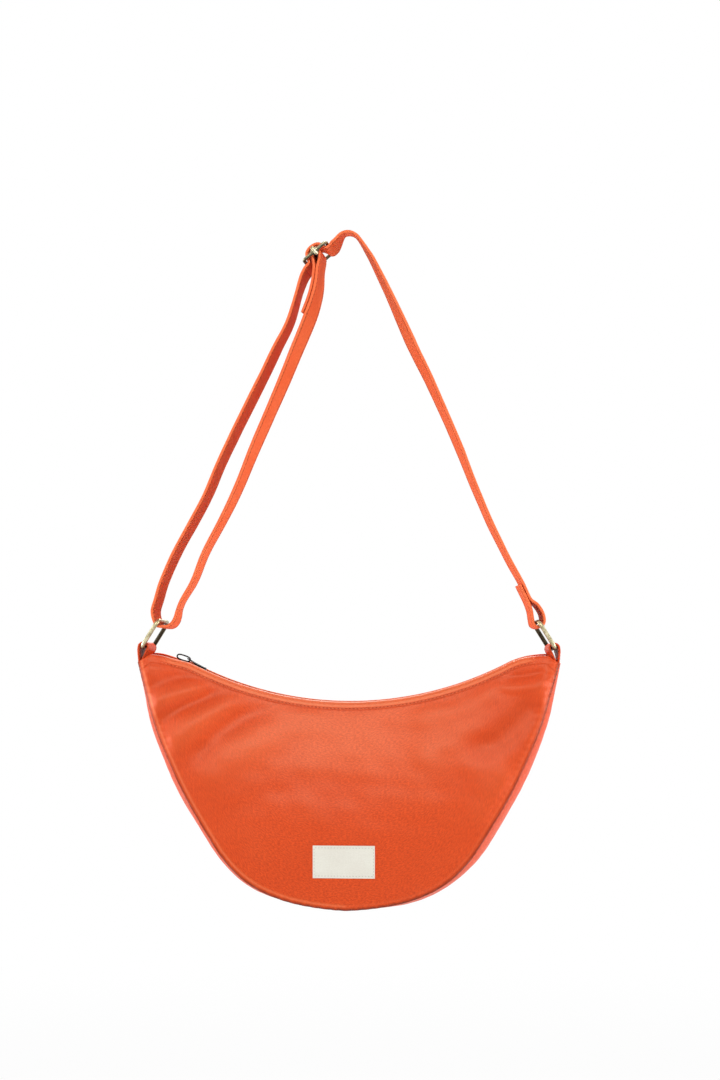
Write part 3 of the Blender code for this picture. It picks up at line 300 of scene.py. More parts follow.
class Wire:
    # an output socket that takes part in plain arithmetic; each sign adds one Math node
    def __init__(self, tree, socket):
        self.tree, self.socket = tree, socket

    def feed(self, value, target):
        if isinstance(value, Wire):
            self.tree.links.new(value.socket, target)
        elif isinstance(value, (tuple, list)) and len(target.default_value) == 4:
            target.default_value = (*value[:3], 1.0)
        else:
            target.default_value = value

    def node(self, kind, output=0, settings=None, **values):
        node = self.tree.nodes.new("ShaderNode" + kind)
        for key, value in (settings or {}).items():
            setattr(node, key, value)
        for key, value in values.items():
            target = node.inputs[int(key[1:])] if key[1:].isdigit() else node.inputs[key]
            self.feed(value, target)
        return Wire(self.tree, node.outputs[output])

    def maths(self, operation, *values):
        pairs = {"i" + str(k): value for k, value in enumerate(values)}
        return self.node("Math", 0, {"operation": operation}, **pairs)

    def __add__(self, other):
        return self.maths("ADD", self, other)

    def __sub__(self, other):
        return self.maths("SUBTRACT", self, other)

    def __rsub__(self, other):
        return self.maths("SUBTRACT", other, self)

    def __mul__(self, other):
        return self.maths("MULTIPLY", self, other)

    def __abs__(self):
        return self.maths("ABSOLUTE", self)

    __radd__, __rmul__ = __add__, __mul__

    def sine(self):
        return self.maths("SINE", self)

    def clamp(self, low=0.0, high=1.0):
        return self.maths("MINIMUM", self.maths("MAXIMUM", self, low), high)

    def smooth(self, low, high):
        settings = {"interpolation_type": "SMOOTHSTEP"}
        return self.node("MapRange", 0, settings, i0=self, i1=low, i2=high, i3=0.0, i4=1.0)

    def blend(self, first, second):
        # a colour between two, by this value
        return self.node("Mix", 2, {"data_type": "RGBA"}, i0=self, i6=first, i7=second)

    def scaled(self, x, y, z=1.0):
        return self.node("VectorMath", 0, {"operation": "MULTIPLY"}, i0=self, i1=(x, y, z))

    def noise(self, scale, detail=2.0, roughness=0.5):
        return self.node("TexNoise", 0, Vector=self, Scale=scale, Detail=detail, Roughness=roughness)


def newMaterial(name):
    material = bpy.data.materials.new(name)
    material.use_nodes = True
    tree = material.node_tree
    shader = tree.nodes["Principled BSDF"]
    start = Wire(tree, shader.outputs[0])
    return material, shader, start


def finish(start, shader, colour=None, roughness=None, height=None, distance=0.0002, **fixed):
    # links only what varies over the surface; everything else is set on the shader's own sockets
    if colour is not None:
        start.feed(colour, shader.inputs["Base Color"])
    if roughness is not None:
        start.feed(roughness, shader.inputs["Roughness"])
    if height is not None:
        bump = start.node("Bump", 0, Strength=1.0, Distance=distance, Height=height)
        start.feed(bump, shader.inputs["Normal"])
    for key, value in fixed.items():
        shader.inputs[key.replace("_", " ")].default_value = value


def clothPlace(start):
    # the piece's UVs in metres, whole and as their two numbers
    cloth = start.node("TexCoord", 2)
    apart = start.node("SeparateXYZ", 0, Vector=cloth)
    return cloth, apart, Wire(apart.tree, apart.socket.node.outputs[1])


def weave(across, along, pitch):
    # plain weave: each thread is a half sine; the product of the two sines says which is on top
    u, v = across * (math.pi / pitch), along * (math.pi / pitch)
    a, b = u.sine(), v.sine()
    over = (a * b * 2.5).clamp(-1.0, 1.0) * 0.5 + 0.5
    return abs(a) * over + abs(b) * (1.0 - over)


def clothMaterial(name, look):
    material, shader, start = newMaterial(name)
    cloth, apart, along = clothPlace(start)
    wobble = cloth.noise(260.0, 1.0)
    threads = weave(apart + wobble * 0.00025, along + wobble * 0.0002, look["pitch"])
    slubAcross = cloth.scaled(1.0, 0.06).noise(1400.0, 2.0)
    slubAlong = cloth.scaled(0.06, 1.0).noise(1400.0, 2.0)
    slub = (slubAcross + slubAlong - 1.0).clamp(-0.6, 0.6)
    # uneven yarn, a few threads wide, longer along the weft
    grain = cloth.scaled(1.0, 0.45).noise(look["grain"], 3.0, 0.7).smooth(0.28, 0.72)
    place = start.node("TexCoord", 3)
    fade = place.noise(look["fadeScale"], 2.0, 0.5).smooth(0.3, 0.7)
    speck = cloth.noise(1500.0, 2.0, 0.7).smooth(0.57, 0.75)
    body = fade.blend(look["deep"], look["light"])
    body = ((1.0 - grain) * look["grainShare"]).blend(body, look["shade"])
    gap = (threads.smooth(0.05, 0.6) * 0.6 + slub * 0.35 + 0.4).clamp()
    colour = gap.blend(look["shade"], body)
    # pale flecks: painted glints off single fibres
    colour = (speck * look["speck"]).blend(colour, look["pale"])
    # above zero the colour darkens towards the hollow colour: painted shade
    paintedLightAndPatina = start.node("Attribute", 2, {"attribute_name": "paintedLightAndPatina"})
    colour = paintedLightAndPatina.clamp().blend(colour, look["hollow"])
    # below zero it turns pale: painted highlight
    colour = (paintedLightAndPatina * -1.0).clamp().blend(colour, look["pale"])
    rough = (look["rough"] + (1.0 - threads) * 0.12 + (1.0 - grain) * 0.08).clamp()
    height = threads * 0.7 + slub * 0.2 + cloth.noise(look["grain"], 1.0) * look["grainHeight"]
    finish(start, shader, colour, rough, height, look["depth"], Sheen_Weight=look["sheen"],
           Sheen_Roughness=0.4, Sheen_Tint=(1.0, 0.5, 0.34, 1.0),
           Specular_IOR_Level=look["specular"], Specular_Tint=(*look["tint"], 1.0))
    return material


canvasLook = {
    "pitch": 0.00062, "depth": 0.00004, "fadeScale": 13.0, "sheen": 0.0, "speck": 0.30,
    "grain": 950.0, "grainShare": 0.85, "grainHeight": 0.8, "rough": 0.38, "specular": 0.46,
    "tint": (1.0, 0.80, 0.58), "light": (0.84, 0.088, 0.011), "deep": (0.78, 0.074, 0.008),
    # shade is the darker tone of grain and thread gaps; pale is the colour of painted highlights and
    # glints, hollow that of painted shade
    "shade": (0.50, 0.034, 0.004), "pale": (0.92, 0.26, 0.10), "hollow": (0.12, 0.008, 0.002),
}
canvas = clothMaterial("canvas", canvasLook)
webbing = clothMaterial("strapCanvas", {
    **canvasLook, "pitch": 0.00058, "fadeScale": 40.0, "depth": 0.000018, "grain": 800.0,
    "grainShare": 0.4, "grainHeight": 0.5, "speck": 0.14, "rough": 0.55, "specular": 0.14,
    "light": (0.98, 0.175, 0.052), "deep": (0.95, 0.148, 0.038), "shade": (0.70, 0.070, 0.015),
    "pale": (0.98, 0.36, 0.19),
})
liningCloth = clothMaterial("liningCloth", {
    **canvasLook, "pitch": 0.0004, "depth": 0.00006, "light": (0.66, 0.11, 0.03),
    "deep": (0.58, 0.08, 0.02), "shade": (0.36, 0.04, 0.01), "speck": 0.1,
})
zipTape = clothMaterial("zipTape", {
    **canvasLook, "pitch": 0.00045, "depth": 0.00008, "light": (0.74, 0.10, 0.022),
    "deep": (0.68, 0.08, 0.018),
})
labelCloth = clothMaterial("labelCloth", {
    "pitch": 0.00034, "depth": 0.00006, "fadeScale": 60.0, "sheen": 0.08, "speck": 0.3,
    "grain": 1100.0, "grainShare": 0.22, "grainHeight": 0.4, "rough": 0.62, "specular": 0.3,
    "tint": (1.0, 1.0, 1.0), "light": (0.86, 0.85, 0.77), "deep": (0.83, 0.81, 0.73),
    "shade": (0.62, 0.59, 0.50), "pale": (0.93, 0.92, 0.86), "hollow": (0.45, 0.40, 0.30),
})


def threadMaterial(name, light, shade):
    # two plies wound round each other: a sine on the slanting sum of the two UV directions
    material, shader, start = newMaterial(name)
    cloth, apart, along = clothPlace(start)
    ply = ((apart * 9000.0 + along * 5200.0).sine() * 0.5 + 0.5).smooth(0.1, 0.9)
    fuzz = cloth.noise(5200.0, 2.0)
    colour = (ply * 0.7 + fuzz * 0.3).clamp().blend(shade, light)
    finish(start, shader, colour, 0.62 + fuzz * 0.2, ply + fuzz * 0.4, 0.00006,
           Sheen_Weight=0.1, Specular_IOR_Level=0.35)
    return material


thread = threadMaterial("thread", (0.90, 0.20, 0.055), (0.62, 0.075, 0.018))
labelThread = threadMaterial("labelThread", (0.66, 0.63, 0.55), (0.38, 0.35, 0.28))


def metalMaterial(name, look):
    material, shader, start = newMaterial(name)
    place = start.node("TexCoord", 3)
    cloud = place.noise(look["cloudScale"], 5.0, 0.62)
    wearAndSheen = cloud.smooth(0.42, 0.66)
    brush = place.scaled(1.0, 0.08, 1.0).noise(5200.0, 2.0)
    pits = place.noise(2400.0, 2.0).smooth(0.64, 0.74)
    colour = wearAndSheen.blend(look["patina"], look["bright"])
    colour = (pits * 0.6).blend(colour, look["pit"])
    # the attribute darkens towards the hollow colour: patina inside the rings, painted shade on the
    # slider's lower and front sides
    paintedLightAndPatina = start.node("Attribute", 2, {"attribute_name": "paintedLightAndPatina"})
    colour = (paintedLightAndPatina + wearAndSheen * 0.2 - 0.1).clamp().blend(colour, look["hollow"])
    rough = (look["rough"] + (1.0 - wearAndSheen) * 0.14 + brush * 0.12 + pits * 0.2).clamp()
    finish(start, shader, colour, rough, brush * 0.5 + cloud * 0.4 - pits * 0.8, look["depth"],
           Metallic=look["metallic"], Specular_IOR_Level=look["specular"])
    return material


antiqueBrass = metalMaterial("antiqueBrass", {
    "bright": (0.76, 0.70, 0.47), "patina": (0.36, 0.31, 0.18), "pit": (0.08, 0.06, 0.035),
    "hollow": (0.030, 0.024, 0.015), "cloudScale": 260.0, "rough": 0.22, "depth": 0.00003,
    "metallic": 1.0, "specular": 0.5,
})
gunmetal = metalMaterial("gunmetal", {
    "bright": (0.022, 0.019, 0.016), "patina": (0.009, 0.008, 0.007), "pit": (0.005, 0.005, 0.004),
    "hollow": (0.004, 0.004, 0.003), "cloudScale": 420.0, "rough": 0.34, "depth": 0.00002,
    "metallic": 0.5, "specular": 0.25,
})


def coilMaterial():
    material, shader, start = newMaterial("zipCoil")
    place = start.node("TexCoord", 3)
    grain = place.noise(3000.0, 2.0)
    dust = place.noise(160.0, 3.0).smooth(0.5, 0.75)
    colour = (dust * 0.5 + grain * 0.2).clamp().blend((0.022, 0.018, 0.016), (0.085, 0.055, 0.04))
    finish(start, shader, colour, 0.3 + grain * 0.2, grain, 0.00002, Specular_IOR_Level=0.5)
    return material


zipCoil = coilMaterial()
print("materials ready")


# Camera, as the photograph was taken

shot = {
    "distance": 1.8, "yawDeg": 3.4, "aimX": 0.0094, "height": -0.2505, "lens": 73.17,
}
yaw = math.radians(shot["yawDeg"])
eye = bpy.data.cameras.new("shotCamera")
eye.sensor_fit, eye.sensor_height, eye.lens = "VERTICAL", 36.0, shot["lens"]
camera = bpy.data.objects.new("shotCamera", eye)
bpy.context.scene.collection.objects.link(camera)
camera.location = (
    shot["aimX"] + shot["distance"] * math.sin(yaw),
    -shot["distance"] * math.cos(yaw),
    shot["height"],
)
camera.rotation_euler = (math.pi / 2, 0.0, yaw)
bpy.context.scene.camera = camera


# Sizes that the bag and its strap share

bagSize = {
    "halfWidth": 0.173, "height": 0.2015, "tipZ": -0.350047, "tipRise": 0.0055,
    "cornerCut": 0.006, "cornerLength": 0.012, "tabReach": 0.1665, "tabBarZ": -0.339047,
    "edgeSag": 0.0018, "sagToTab": 0.025, "sagReach": 0.011,
    "gussetTip": 0.0124, "gussetHalf": 0.0345, "gussetBulge": 0.0075, "panelBulge": 0.012,
    "seamGap": 0.0010, "canvas": 0.0012, "puckerPitch": 0.0062,
    "labelX": -0.0014, "labelBelow": 0.1462, "labelWidth": 0.0500, "labelHeight": 0.0258,
    "outline": (
        (1.000, 0.000), (0.974, 0.109), (0.936, 0.255), (0.874, 0.401), (0.793, 0.548),
        (0.690, 0.695), (0.603, 0.804), (0.498, 0.890), (0.373, 0.948), (0.214, 0.985),
        (0.000, 1.000),
    ),
    "bulge": ((0.0, 0.22), (0.12, 0.62), (0.3, 0.97), (0.5, 1.0), (0.75, 0.82), (1.0, 0.52)),
    "widening": ((0.0, 0.0), (0.1, 0.2), (0.25, 0.52), (0.45, 0.82), (0.65, 0.96), (1.0, 1.0)),
}
zipSize = {
    "radius": 0.2814, "arcEndDrop": 0.0016, "arcToTab": 0.0366, "sliderToTab": 0.0476,
    "halfOpening": 0.0075, "tipOpening": 0.0142, "teethInner": 0.0006, "teethWidth": 0.0018,
    "teethHeight": 0.0016, "sink": 0.0032, "tape": 0.0005, "turnDown": 0.0050,
    "sliderLength": 0.0120, "sliderWidth": 0.0092, "sliderPlate": 0.0012, "clear": 0.0003,
}
zipHalfAngle = math.asin((bagSize["tabReach"] - zipSize["arcToTab"]) / zipSize["radius"])
zipRestAngle = math.asin((bagSize["tabReach"] - zipSize["sliderToTab"]) / zipSize["radius"])
zipCentreZ = bagSize["tipZ"] - zipSize["arcEndDrop"] + zipSize["radius"] * math.cos(zipHalfAngle)
zipLowZ = zipCentreZ - zipSize["radius"]
bagLowZ = bagSize["tipZ"] - bagSize["height"]
teethEnd = zipRestAngle + (zipSize["sliderLength"] / 2 + zipSize["clear"]) / zipSize["radius"]


def topEdge(x):
    # the zip's arc, then a cubic out to the tip, less a soft cut at the corner and a bell-shaped
    # sag beside the left tab
    sag = bagSize["edgeSag"] * hump(x + bagSize["tabReach"] - bagSize["sagToTab"], bagSize["sagReach"])
    x = np.abs(x)
    radius, halfAngle = zipSize["radius"], zipHalfAngle
    arcEnd = radius * math.sin(halfAngle)
    arc = zipCentreZ - np.sqrt(radius**2 - np.minimum(x, arcEnd) ** 2)
    start = zipCentreZ - radius * math.cos(halfAngle)
    end = bagSize["tipZ"] + bagSize["tipRise"]
    width = bagSize["tabReach"] - arcEnd
    t = np.clip((x - arcEnd) / width, 0, 1)
    curve = (
        start * (1 + 2 * t) * (1 - t) ** 2
        + end * t**2 * (3 - 2 * t)
        + math.tan(halfAngle) * width * t * (1 - t) ** 2
    )
    corner = (x - bagSize["tabReach"] + bagSize["cornerLength"] / 2) / bagSize["cornerLength"]
    return np.where(x <= arcEnd, arc, curve - bagSize["cornerCut"] * ease(corner)) - sag


def halfOpening(x):
    arcEnd = zipSize["radius"] * math.sin(zipHalfAngle)
    t = (np.abs(x) - arcEnd) / (bagSize["tabReach"] - arcEnd)
    return zipSize["halfOpening"] + (zipSize["tipOpening"] - zipSize["halfOpening"]) * ease(t)


def bagOutline(count):
    # middle line of the gusset from tip to tip: points, outward normals, seam inset, half width
    scale = np.array([bagSize["halfWidth"], -bagSize["height"]])
    right = np.array(bagSize["outline"]) * scale + (0, bagSize["tipZ"])
    left = right[::-1] * (-1, 1)
    curve = equalSteps(smoothCurve(np.vstack([right[:-1], left])[::-1]), count)
    tangent = unit(np.gradient(curve, axis=0))
    normal = np.stack([tangent[:, 1], -tangent[:, 0]], axis=1)
    way = 1 - np.abs(np.linspace(-1, 1, count))
    inset = bagSize["gussetBulge"] * smoothTable(bagSize["bulge"], way)
    widening = bagSize["gussetHalf"] - bagSize["gussetTip"]
    return curve, normal, inset, bagSize["gussetTip"] + widening * smoothTable(bagSize["widening"], way)


outlineCurve, outlineNormal, outlineInset, outlineHalf = bagOutline(481)
seamLine = outlineCurve - outlineNormal * (outlineInset - bagSize["canvas"] / 2)[:, None]
panelReach = seamLine[-1, 0]


def panelDepth(x, z):
    # straight slope from the zip's edge to the seam plus a sine bulge, all off the middle plane
    lower = np.interp(x, seamLine[:, 0], seamLine[:, 1])
    half = np.interp(x, seamLine[:, 0], outlineHalf)
    top = topEdge(x)
    v = (top - z) / (top - lower)
    share = (top - lower) / (zipLowZ - bagLowZ)
    opening = halfOpening(x)
    seam = half + bagSize["canvas"] / 2 + bagSize["seamGap"]
    bulge = bagSize["panelBulge"] * share * np.sin(math.pi * np.clip(v, 0, 1))
    return opening + (seam - opening) * v + bulge


# Front and back panels

panelLook = {
    "columns": 290, "topRows": 28, "topZone": 0.0078, "middleRows": 92, "seamRows": 20,
    "seamZone": 0.0080, "fullHeight": 0.040, "tipRound": 0.0018, "tipTrim": 0.0002,
    "roll": 0.0017, "topRoll": 0.0016, "seamShadeWidth": 0.0016,
    "hemDrop": 0.0049, "edgeDrop": 0.0015, "hemRidge": 0.00045, "stitchPitch": 0.0031,
    "stitchLength": 0.0022, "stitchRadius": 0.00028, "stitchLift": 0.00006, "sewnEnd": 0.016,
    "hemBelow": 0.0014, "hemStep": 0.0008, "pucker": 0.00022, "puckerAway": 0.004, "seamTurn": 0.16,
    "ripple": 0.0010, "rippleScale": 0.055, "fineRipple": 0.00030, "fineScale": 0.016,
    "calmSeam": 0.010, "calmTop": 0.009, "calmLabel": 0.022,
    # how much painted shade darkens the fold hollows and how much painted highlight lightens
    # ridges, belly, hem and seam, and the sizes that go with it
    "hollow": 0.0026, "hollowShade": 0.10, "ridge": 0.0024, "ridgeHighlight": 0.09, "bellySheen": 0.11,
    "hemHighlight": 0.42, "seamHighlight": 0.26, "seamHighlightTurn": 0.14, "seamHighlightAway": 0.0032,
    # folds: from x, z to x, z, height (below zero for a hollow) and width
    "frontFolds": (
        (-0.168, -0.3550, -0.142, -0.3560, 0.0010, 0.0042),
        (-0.163, -0.3700, -0.120, -0.3630, -0.0013, 0.0052),
        (-0.164, -0.3885, -0.118, -0.3710, 0.0027, 0.0064),
        (-0.162, -0.4050, -0.106, -0.3765, -0.0028, 0.0066),
        (-0.144, -0.4190, -0.088, -0.3800, 0.0026, 0.0076),
        (-0.124, -0.4260, -0.062, -0.3870, -0.0024, 0.0088),
        (-0.112, -0.4420, -0.030, -0.3980, 0.0014, 0.0125),
        (-0.085, -0.462, 0.060, -0.452, -0.0008, 0.0100),
        (0.158, -0.357, 0.130, -0.361, -0.0016, 0.0038),
        (0.160, -0.366, 0.122, -0.370, 0.0016, 0.0040),
        (0.152, -0.382, 0.104, -0.424, -0.0042, 0.0115),
        (0.118, -0.376, 0.040, -0.398, 0.0012, 0.0085),
        (0.104, -0.398, 0.050, -0.430, 0.0010, 0.0100),
        (0.130, -0.440, 0.100, -0.474, 0.0010, 0.0100),
        (-0.040, -0.388, 0.045, -0.392, 0.0009, 0.0110),
    ),
    "backFolds": (
        (-0.160, -0.366, -0.090, -0.402, 0.0014, 0.0060),
        (-0.150, -0.382, -0.100, -0.420, -0.0016, 0.0065),
        (0.162, -0.366, 0.100, -0.400, 0.0015, 0.0060),
        (0.150, -0.384, 0.110, -0.420, -0.0018, 0.0065),
        (-0.050, -0.440, 0.060, -0.452, 0.0010, 0.0140),
        (0.060, -0.470, 0.110, -0.430, -0.0012, 0.0100),
    ),
}


def foldHeight(x, z, folds):
    # each fold is a bell across its line, fading in and out along it
    total = np.zeros(x.shape)
    for x0, z0, x1, z1, height, width in folds:
        length = math.hypot(x1 - x0, z1 - z0)
        dx, dz = (x1 - x0) / length, (z1 - z0) / length
        along = (x - x0) * dx + (z - z0) * dz
        across = (z - z0) * dx - (x - x0) * dz
        bend = 0.06 * length * np.sin(math.pi * np.clip(along / length, 0, 1))
        fadeIn = ease(along / (0.25 * length) + 0.6) * ease((length - along) / (0.45 * length) + 0.4)
        total += height * hump(across - bend, width) * fadeIn
    return total


def panelRelief(x, z, side):
    # folds and ripples, calm near the seam, the zip's edge and the label
    flat = np.stack([x, z], axis=-1).reshape(-1, 2)
    toSeam = np.sqrt(((flat[:, None] - seamLine[None, ::2]) ** 2).sum(-1)).min(1).reshape(z.shape)
    steep = np.gradient(topEdge(x), axis=1) / np.gradient(x, axis=1)
    toTop = (topEdge(x) - z) * np.cos(np.arctan(steep))
    beside = np.maximum(
        np.abs(x - bagSize["labelX"]) - bagSize["labelWidth"] / 2,
        np.abs(z - bagSize["tipZ"] + bagSize["labelBelow"] + bagSize["labelHeight"] / 2)
        - bagSize["labelHeight"] / 2,
    )
    look = panelLook
    calm = ease(toSeam / look["calmSeam"]) * ease((toTop - 0.004) / look["calmTop"])
    if side < 0:
        calm = calm * ease((beside - 0.001) / look["calmLabel"])
    folds, seed = (look["frontFolds"], 5) if side < 0 else (look["backFolds"], 9)
    relief = foldHeight(x, z, folds) + look["ripple"] * ripple(x, z, seed, look["rippleScale"])
    return toSeam, toTop, calm * (relief + look["fineRipple"] * ripple(x, z, 7, look["fineScale"]))


def panelSurface(side):
    look = panelLook
    reach = panelReach - look["tipTrim"]
    x = np.sin(np.linspace(-math.pi / 2, math.pi / 2, look["columns"])) * reach
    top, low = topEdge(x), np.interp(x, seamLine[:, 0], seamLine[:, 1])
    # the tips are rounded: both edges draw together along a quarter circle
    near = np.clip((np.abs(x) - reach) / look["tipRound"] + 1, 0, 1)
    draw = 0.9 * (1 - np.sqrt(1 - near**2))
    meet = low + 0.8 * (top - low)
    top, low = top + (meet - top) * draw, low + (meet - low) * draw
    # close rows in a zone below the zip and in one above the seam, even rows between them
    share = np.minimum((top - low) / look["fullHeight"], 1)
    upper = top - np.linspace(0, look["topZone"], look["topRows"])[:, None] * share
    lower = low + np.linspace(look["seamZone"], 0, look["seamRows"])[:, None] * share
    between = np.linspace(0, 1, look["middleRows"] + 2)[1:-1, None]
    z = np.concatenate([upper, upper[-1] + (lower[0] - upper[-1]) * between, lower])
    x = np.broadcast_to(x, z.shape)
    toSeam, toTop, relief = panelRelief(x, z, side)
    depth = panelDepth(x, z) + relief
    # puckers along the seam, then the roll of the edge into the seam
    pucker = hump(toSeam - look["puckerAway"], look["puckerAway"]) * look["pucker"]
    way = np.arctan2(z - zipLowZ, x) * look["seamTurn"]
    phase = way * 2 * math.pi / bagSize["puckerPitch"] + 2 * ripple(x, z, 3, 0.05)
    depth = depth + pucker * np.sin(phase)
    for roll, away in ((look["roll"], toSeam), (look["topRoll"], toTop)):
        inside = np.clip(roll - away, 0, roll)
        depth = depth - (roll - np.sqrt(roll**2 - inside**2))
    # a folded hem along the zip: a second layer down to just below the stitches
    hemEnd = look["hemDrop"] + look["hemBelow"]
    hem = ease((hemEnd - toTop) / look["hemStep"]) * ease(toSeam / 0.006)
    sewn = ease((panelReach - look["sewnEnd"] - np.abs(x)) / 0.012)
    rows = (sewn * hump(toTop - look["hemDrop"], 0.00055),
            sewn * hump(toTop - look["edgeDrop"], 0.0004))
    depth = depth + look["hemRidge"] * hem - 0.00022 * rows[0] - 0.00010 * rows[1]
    step = hump(toTop - look["hemDrop"] - look["hemBelow"], 0.0005)
    # painted shade in the seam's crevice, along the sunken stitch rows and under the hem's step
    paintedLightAndPatina = np.maximum(hump(toSeam, look["seamShadeWidth"]), 0.55 * rows[0] + 0.25 * rows[1])
    paintedLightAndPatina = np.maximum(paintedLightAndPatina, 0.18 * step)
    # painted shade in the fold hollows; painted highlight on their ridges, over the upper belly,
    # along the hem and beside the seam, more at the left
    paintedLightAndPatina = paintedLightAndPatina + look["hollowShade"] * np.clip(-relief / look["hollow"], 0, 1)
    paintedLightAndPatina = paintedLightAndPatina - look["ridgeHighlight"] * np.clip(relief / look["ridge"], 0, 1)
    belly = hump((x + 0.004) / 0.125, 1.0) * hump((z - zipLowZ + 0.028) / 0.040, 1.0)
    paintedLightAndPatina = paintedLightAndPatina - look["bellySheen"] * belly * ease((toTop - look["hemDrop"]) / 0.004)
    # painted highlight along the hem and beside the seam
    wearAndSheen = look["hemHighlight"] * sewn * ease((look["hemDrop"] - 0.0007 - toTop) / look["hemStep"])
    seamHighlight = look["seamHighlight"] - look["seamHighlightTurn"] * np.sign(x)
    wearAndSheen = wearAndSheen + seamHighlight * hump(toSeam - look["seamHighlightAway"], 0.0011)
    paintedLightAndPatina = paintedLightAndPatina - wearAndSheen
    return np.stack([x, side * depth, z], axis=-1), toTop, paintedLightAndPatina


def panelPiece(name, node, side):
    grid, toTop, paintedLightAndPatina = panelSurface(side)
    outward = gridNormals(grid)
    if outward[..., 1].mean() * side < 0:
        outward = -outward
    parts = [sheetPart(grid, bagSize["canvas"], 8, paintedLightAndPatina=paintedLightAndPatina)]
    # rows of topstitching at two distances below the zip's edge
    for drop in (panelLook["edgeDrop"], panelLook["hemDrop"]):
        columns = np.flatnonzero(np.abs(grid[0, :, 0]) < panelReach - 0.018)
        row = np.abs(toTop[:, columns] - drop).argmin(axis=0)
        low = np.clip(np.where(toTop[row, columns] > drop, row - 1, row), 0, grid.shape[0] - 2)
        gap = toTop[low + 1, columns] - toTop[low, columns]
        share = np.clip((drop - toTop[low, columns]) / gap, 0, 1)[:, None]
        path = grid[low, columns] * (1 - share) + grid[low + 1, columns] * share
        normals = outward[low, columns]
        lift = bagSize["canvas"] / 2 + panelLook["stitchLift"]
        parts.append(stitchRow(path, normals, panelLook["stitchPitch"], panelLook["stitchLength"],
                               panelLook["stitchRadius"], lift))
    piece = makePiece(name, parts, [canvas, thread])
    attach(piece, "bag")
    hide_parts(node)


panelPiece("frontPanel", "front_panel", -1)
panelPiece("backPanel", "back_panel", 1)
print("panels done")


# Gusset round the sides and the bottom

gussetLook = {
    "columns": 520, "rows": 60, "roll": 0.0020, "pucker": 0.00024, "slack": 0.0008, "tipTrim": 1,
    "seamShadeWidth": 0.0015,
}


def gussetPiece():
    # each cross-section bulges as the square of its place between the seams, and its edges roll in
    curve, normal, inset, half = bagOutline(gussetLook["columns"])
    w = np.sin(np.linspace(-math.pi / 2, math.pi / 2, gussetLook["rows"]))[:, None]
    way = wayAlong(curve)[None]
    edge = (1 - np.abs(w)) * half
    sinking = inset * w**2
    roll = gussetLook["roll"]
    inside = np.clip(roll - edge, 0, roll)
    sinking = sinking + (roll - np.sqrt(roll**2 - inside**2))
    calm = ease(edge / 0.010) * ease((0.36 - np.abs(way - way.max() / 2)) / 0.06)
    slack = gussetLook["slack"] * ripple(way + 0 * w, half * w, 21, 0.045)
    slack = slack + 0.0002 * ripple(way + 0 * w, half * w, 22, 0.015)
    pucker = gussetLook["pucker"] * hump(edge - 0.004, 0.004)
    phase = way * 2 * math.pi / bagSize["puckerPitch"] + 2 * ripple(way, w, 23, 0.05)
    pucker = pucker * np.sin(phase)
    out = slack * calm + pucker - sinking
    x = curve[:, 0] + normal[:, 0] * out
    z = curve[:, 1] + normal[:, 1] * out
    keep = slice(gussetLook["tipTrim"], -gussetLook["tipTrim"])
    grid = np.stack([x, half * w, z], axis=-1)[:, keep]
    # painted shade along both seam edges
    paintedLightAndPatina = hump(edge, gussetLook["seamShadeWidth"])[:, keep]
    piece = makePiece("gussetCloth", [sheetPart(grid, bagSize["canvas"], 6, paintedLightAndPatina=paintedLightAndPatina)], [canvas])
    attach(piece, "bag")
    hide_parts("gusset")


gussetPiece()


# Linings, a little inside the canvas

liningLook = {"step": 0.0012, "cloth": 0.0006, "topShare": 0.012, "tipLeave": 0.030}


def liningPieces():
    for name, node, side in (("frontLining", "front_lining", -1), ("backLining", "back_lining", 1)):
        reach = panelReach - liningLook["tipLeave"]
        x = np.sin(np.linspace(-math.pi / 2, math.pi / 2, 120)) * reach
        top = topEdge(x) - liningLook["topShare"]
        low = np.interp(x, seamLine[:, 0], seamLine[:, 1]) + 0.004
        v = np.linspace(0, 1, 60)[:, None]
        z = top - v * np.maximum(top - low, 0.004)
        x = np.broadcast_to(x, z.shape)
        # it follows the panel's hollows
        depth = panelDepth(x, z) + np.minimum(panelRelief(x, z, side)[2], 0)
        depth = depth - liningLook["step"] - 0.0010 + 0.0006 * ripple(x, z, 31, 0.04)
        depth = depth - 0.0008 - 0.0012 * hump(v - 1, 0.15)
        grid = np.stack([x, side * depth, z], axis=-1)
        piece = makePiece(name, [sheetPart(grid, liningLook["cloth"], 4)], [liningCloth])
        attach(piece, "bag")
        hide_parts(node)
    curve, normal, inset, half = bagOutline(300)
    keep = slice(16, -16)
    w = np.linspace(-0.86, 0.86, 24)[:, None]
    sinking = inset * w**2 + 0.0019 - 0.0004 * ripple(wayAlong(curve)[None] + 0 * w, w * 0.03, 33, 0.03)
    x = (curve[:, 0] - normal[:, 0] * sinking)[:, keep]
    z = (curve[:, 1] - normal[:, 1] * sinking)[:, keep]
    grid = np.stack([x, (half * w)[:, keep], z], axis=-1)
    piece = makePiece("gussetLining", [sheetPart(grid, liningLook["cloth"], 4)], [liningCloth])
    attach(piece, "bag")
    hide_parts("gusset_lining")


liningPieces()
print("gusset and linings done")


# Zip: tapes, coils, stops and the canvas ends beyond them

zipLook = {"columns": 220, "toothPitch": 0.00135, "toothRadius": 0.00036, "toothReach": 0.00026,
           "endSink": 0.0028, "cord": 0.0004}


def zipPoint(angle, height):
    # a place at this height above the zip's arc
    reach = zipSize["radius"] - height
    return np.sin(angle) * reach, zipCentreZ - np.cos(angle) * reach


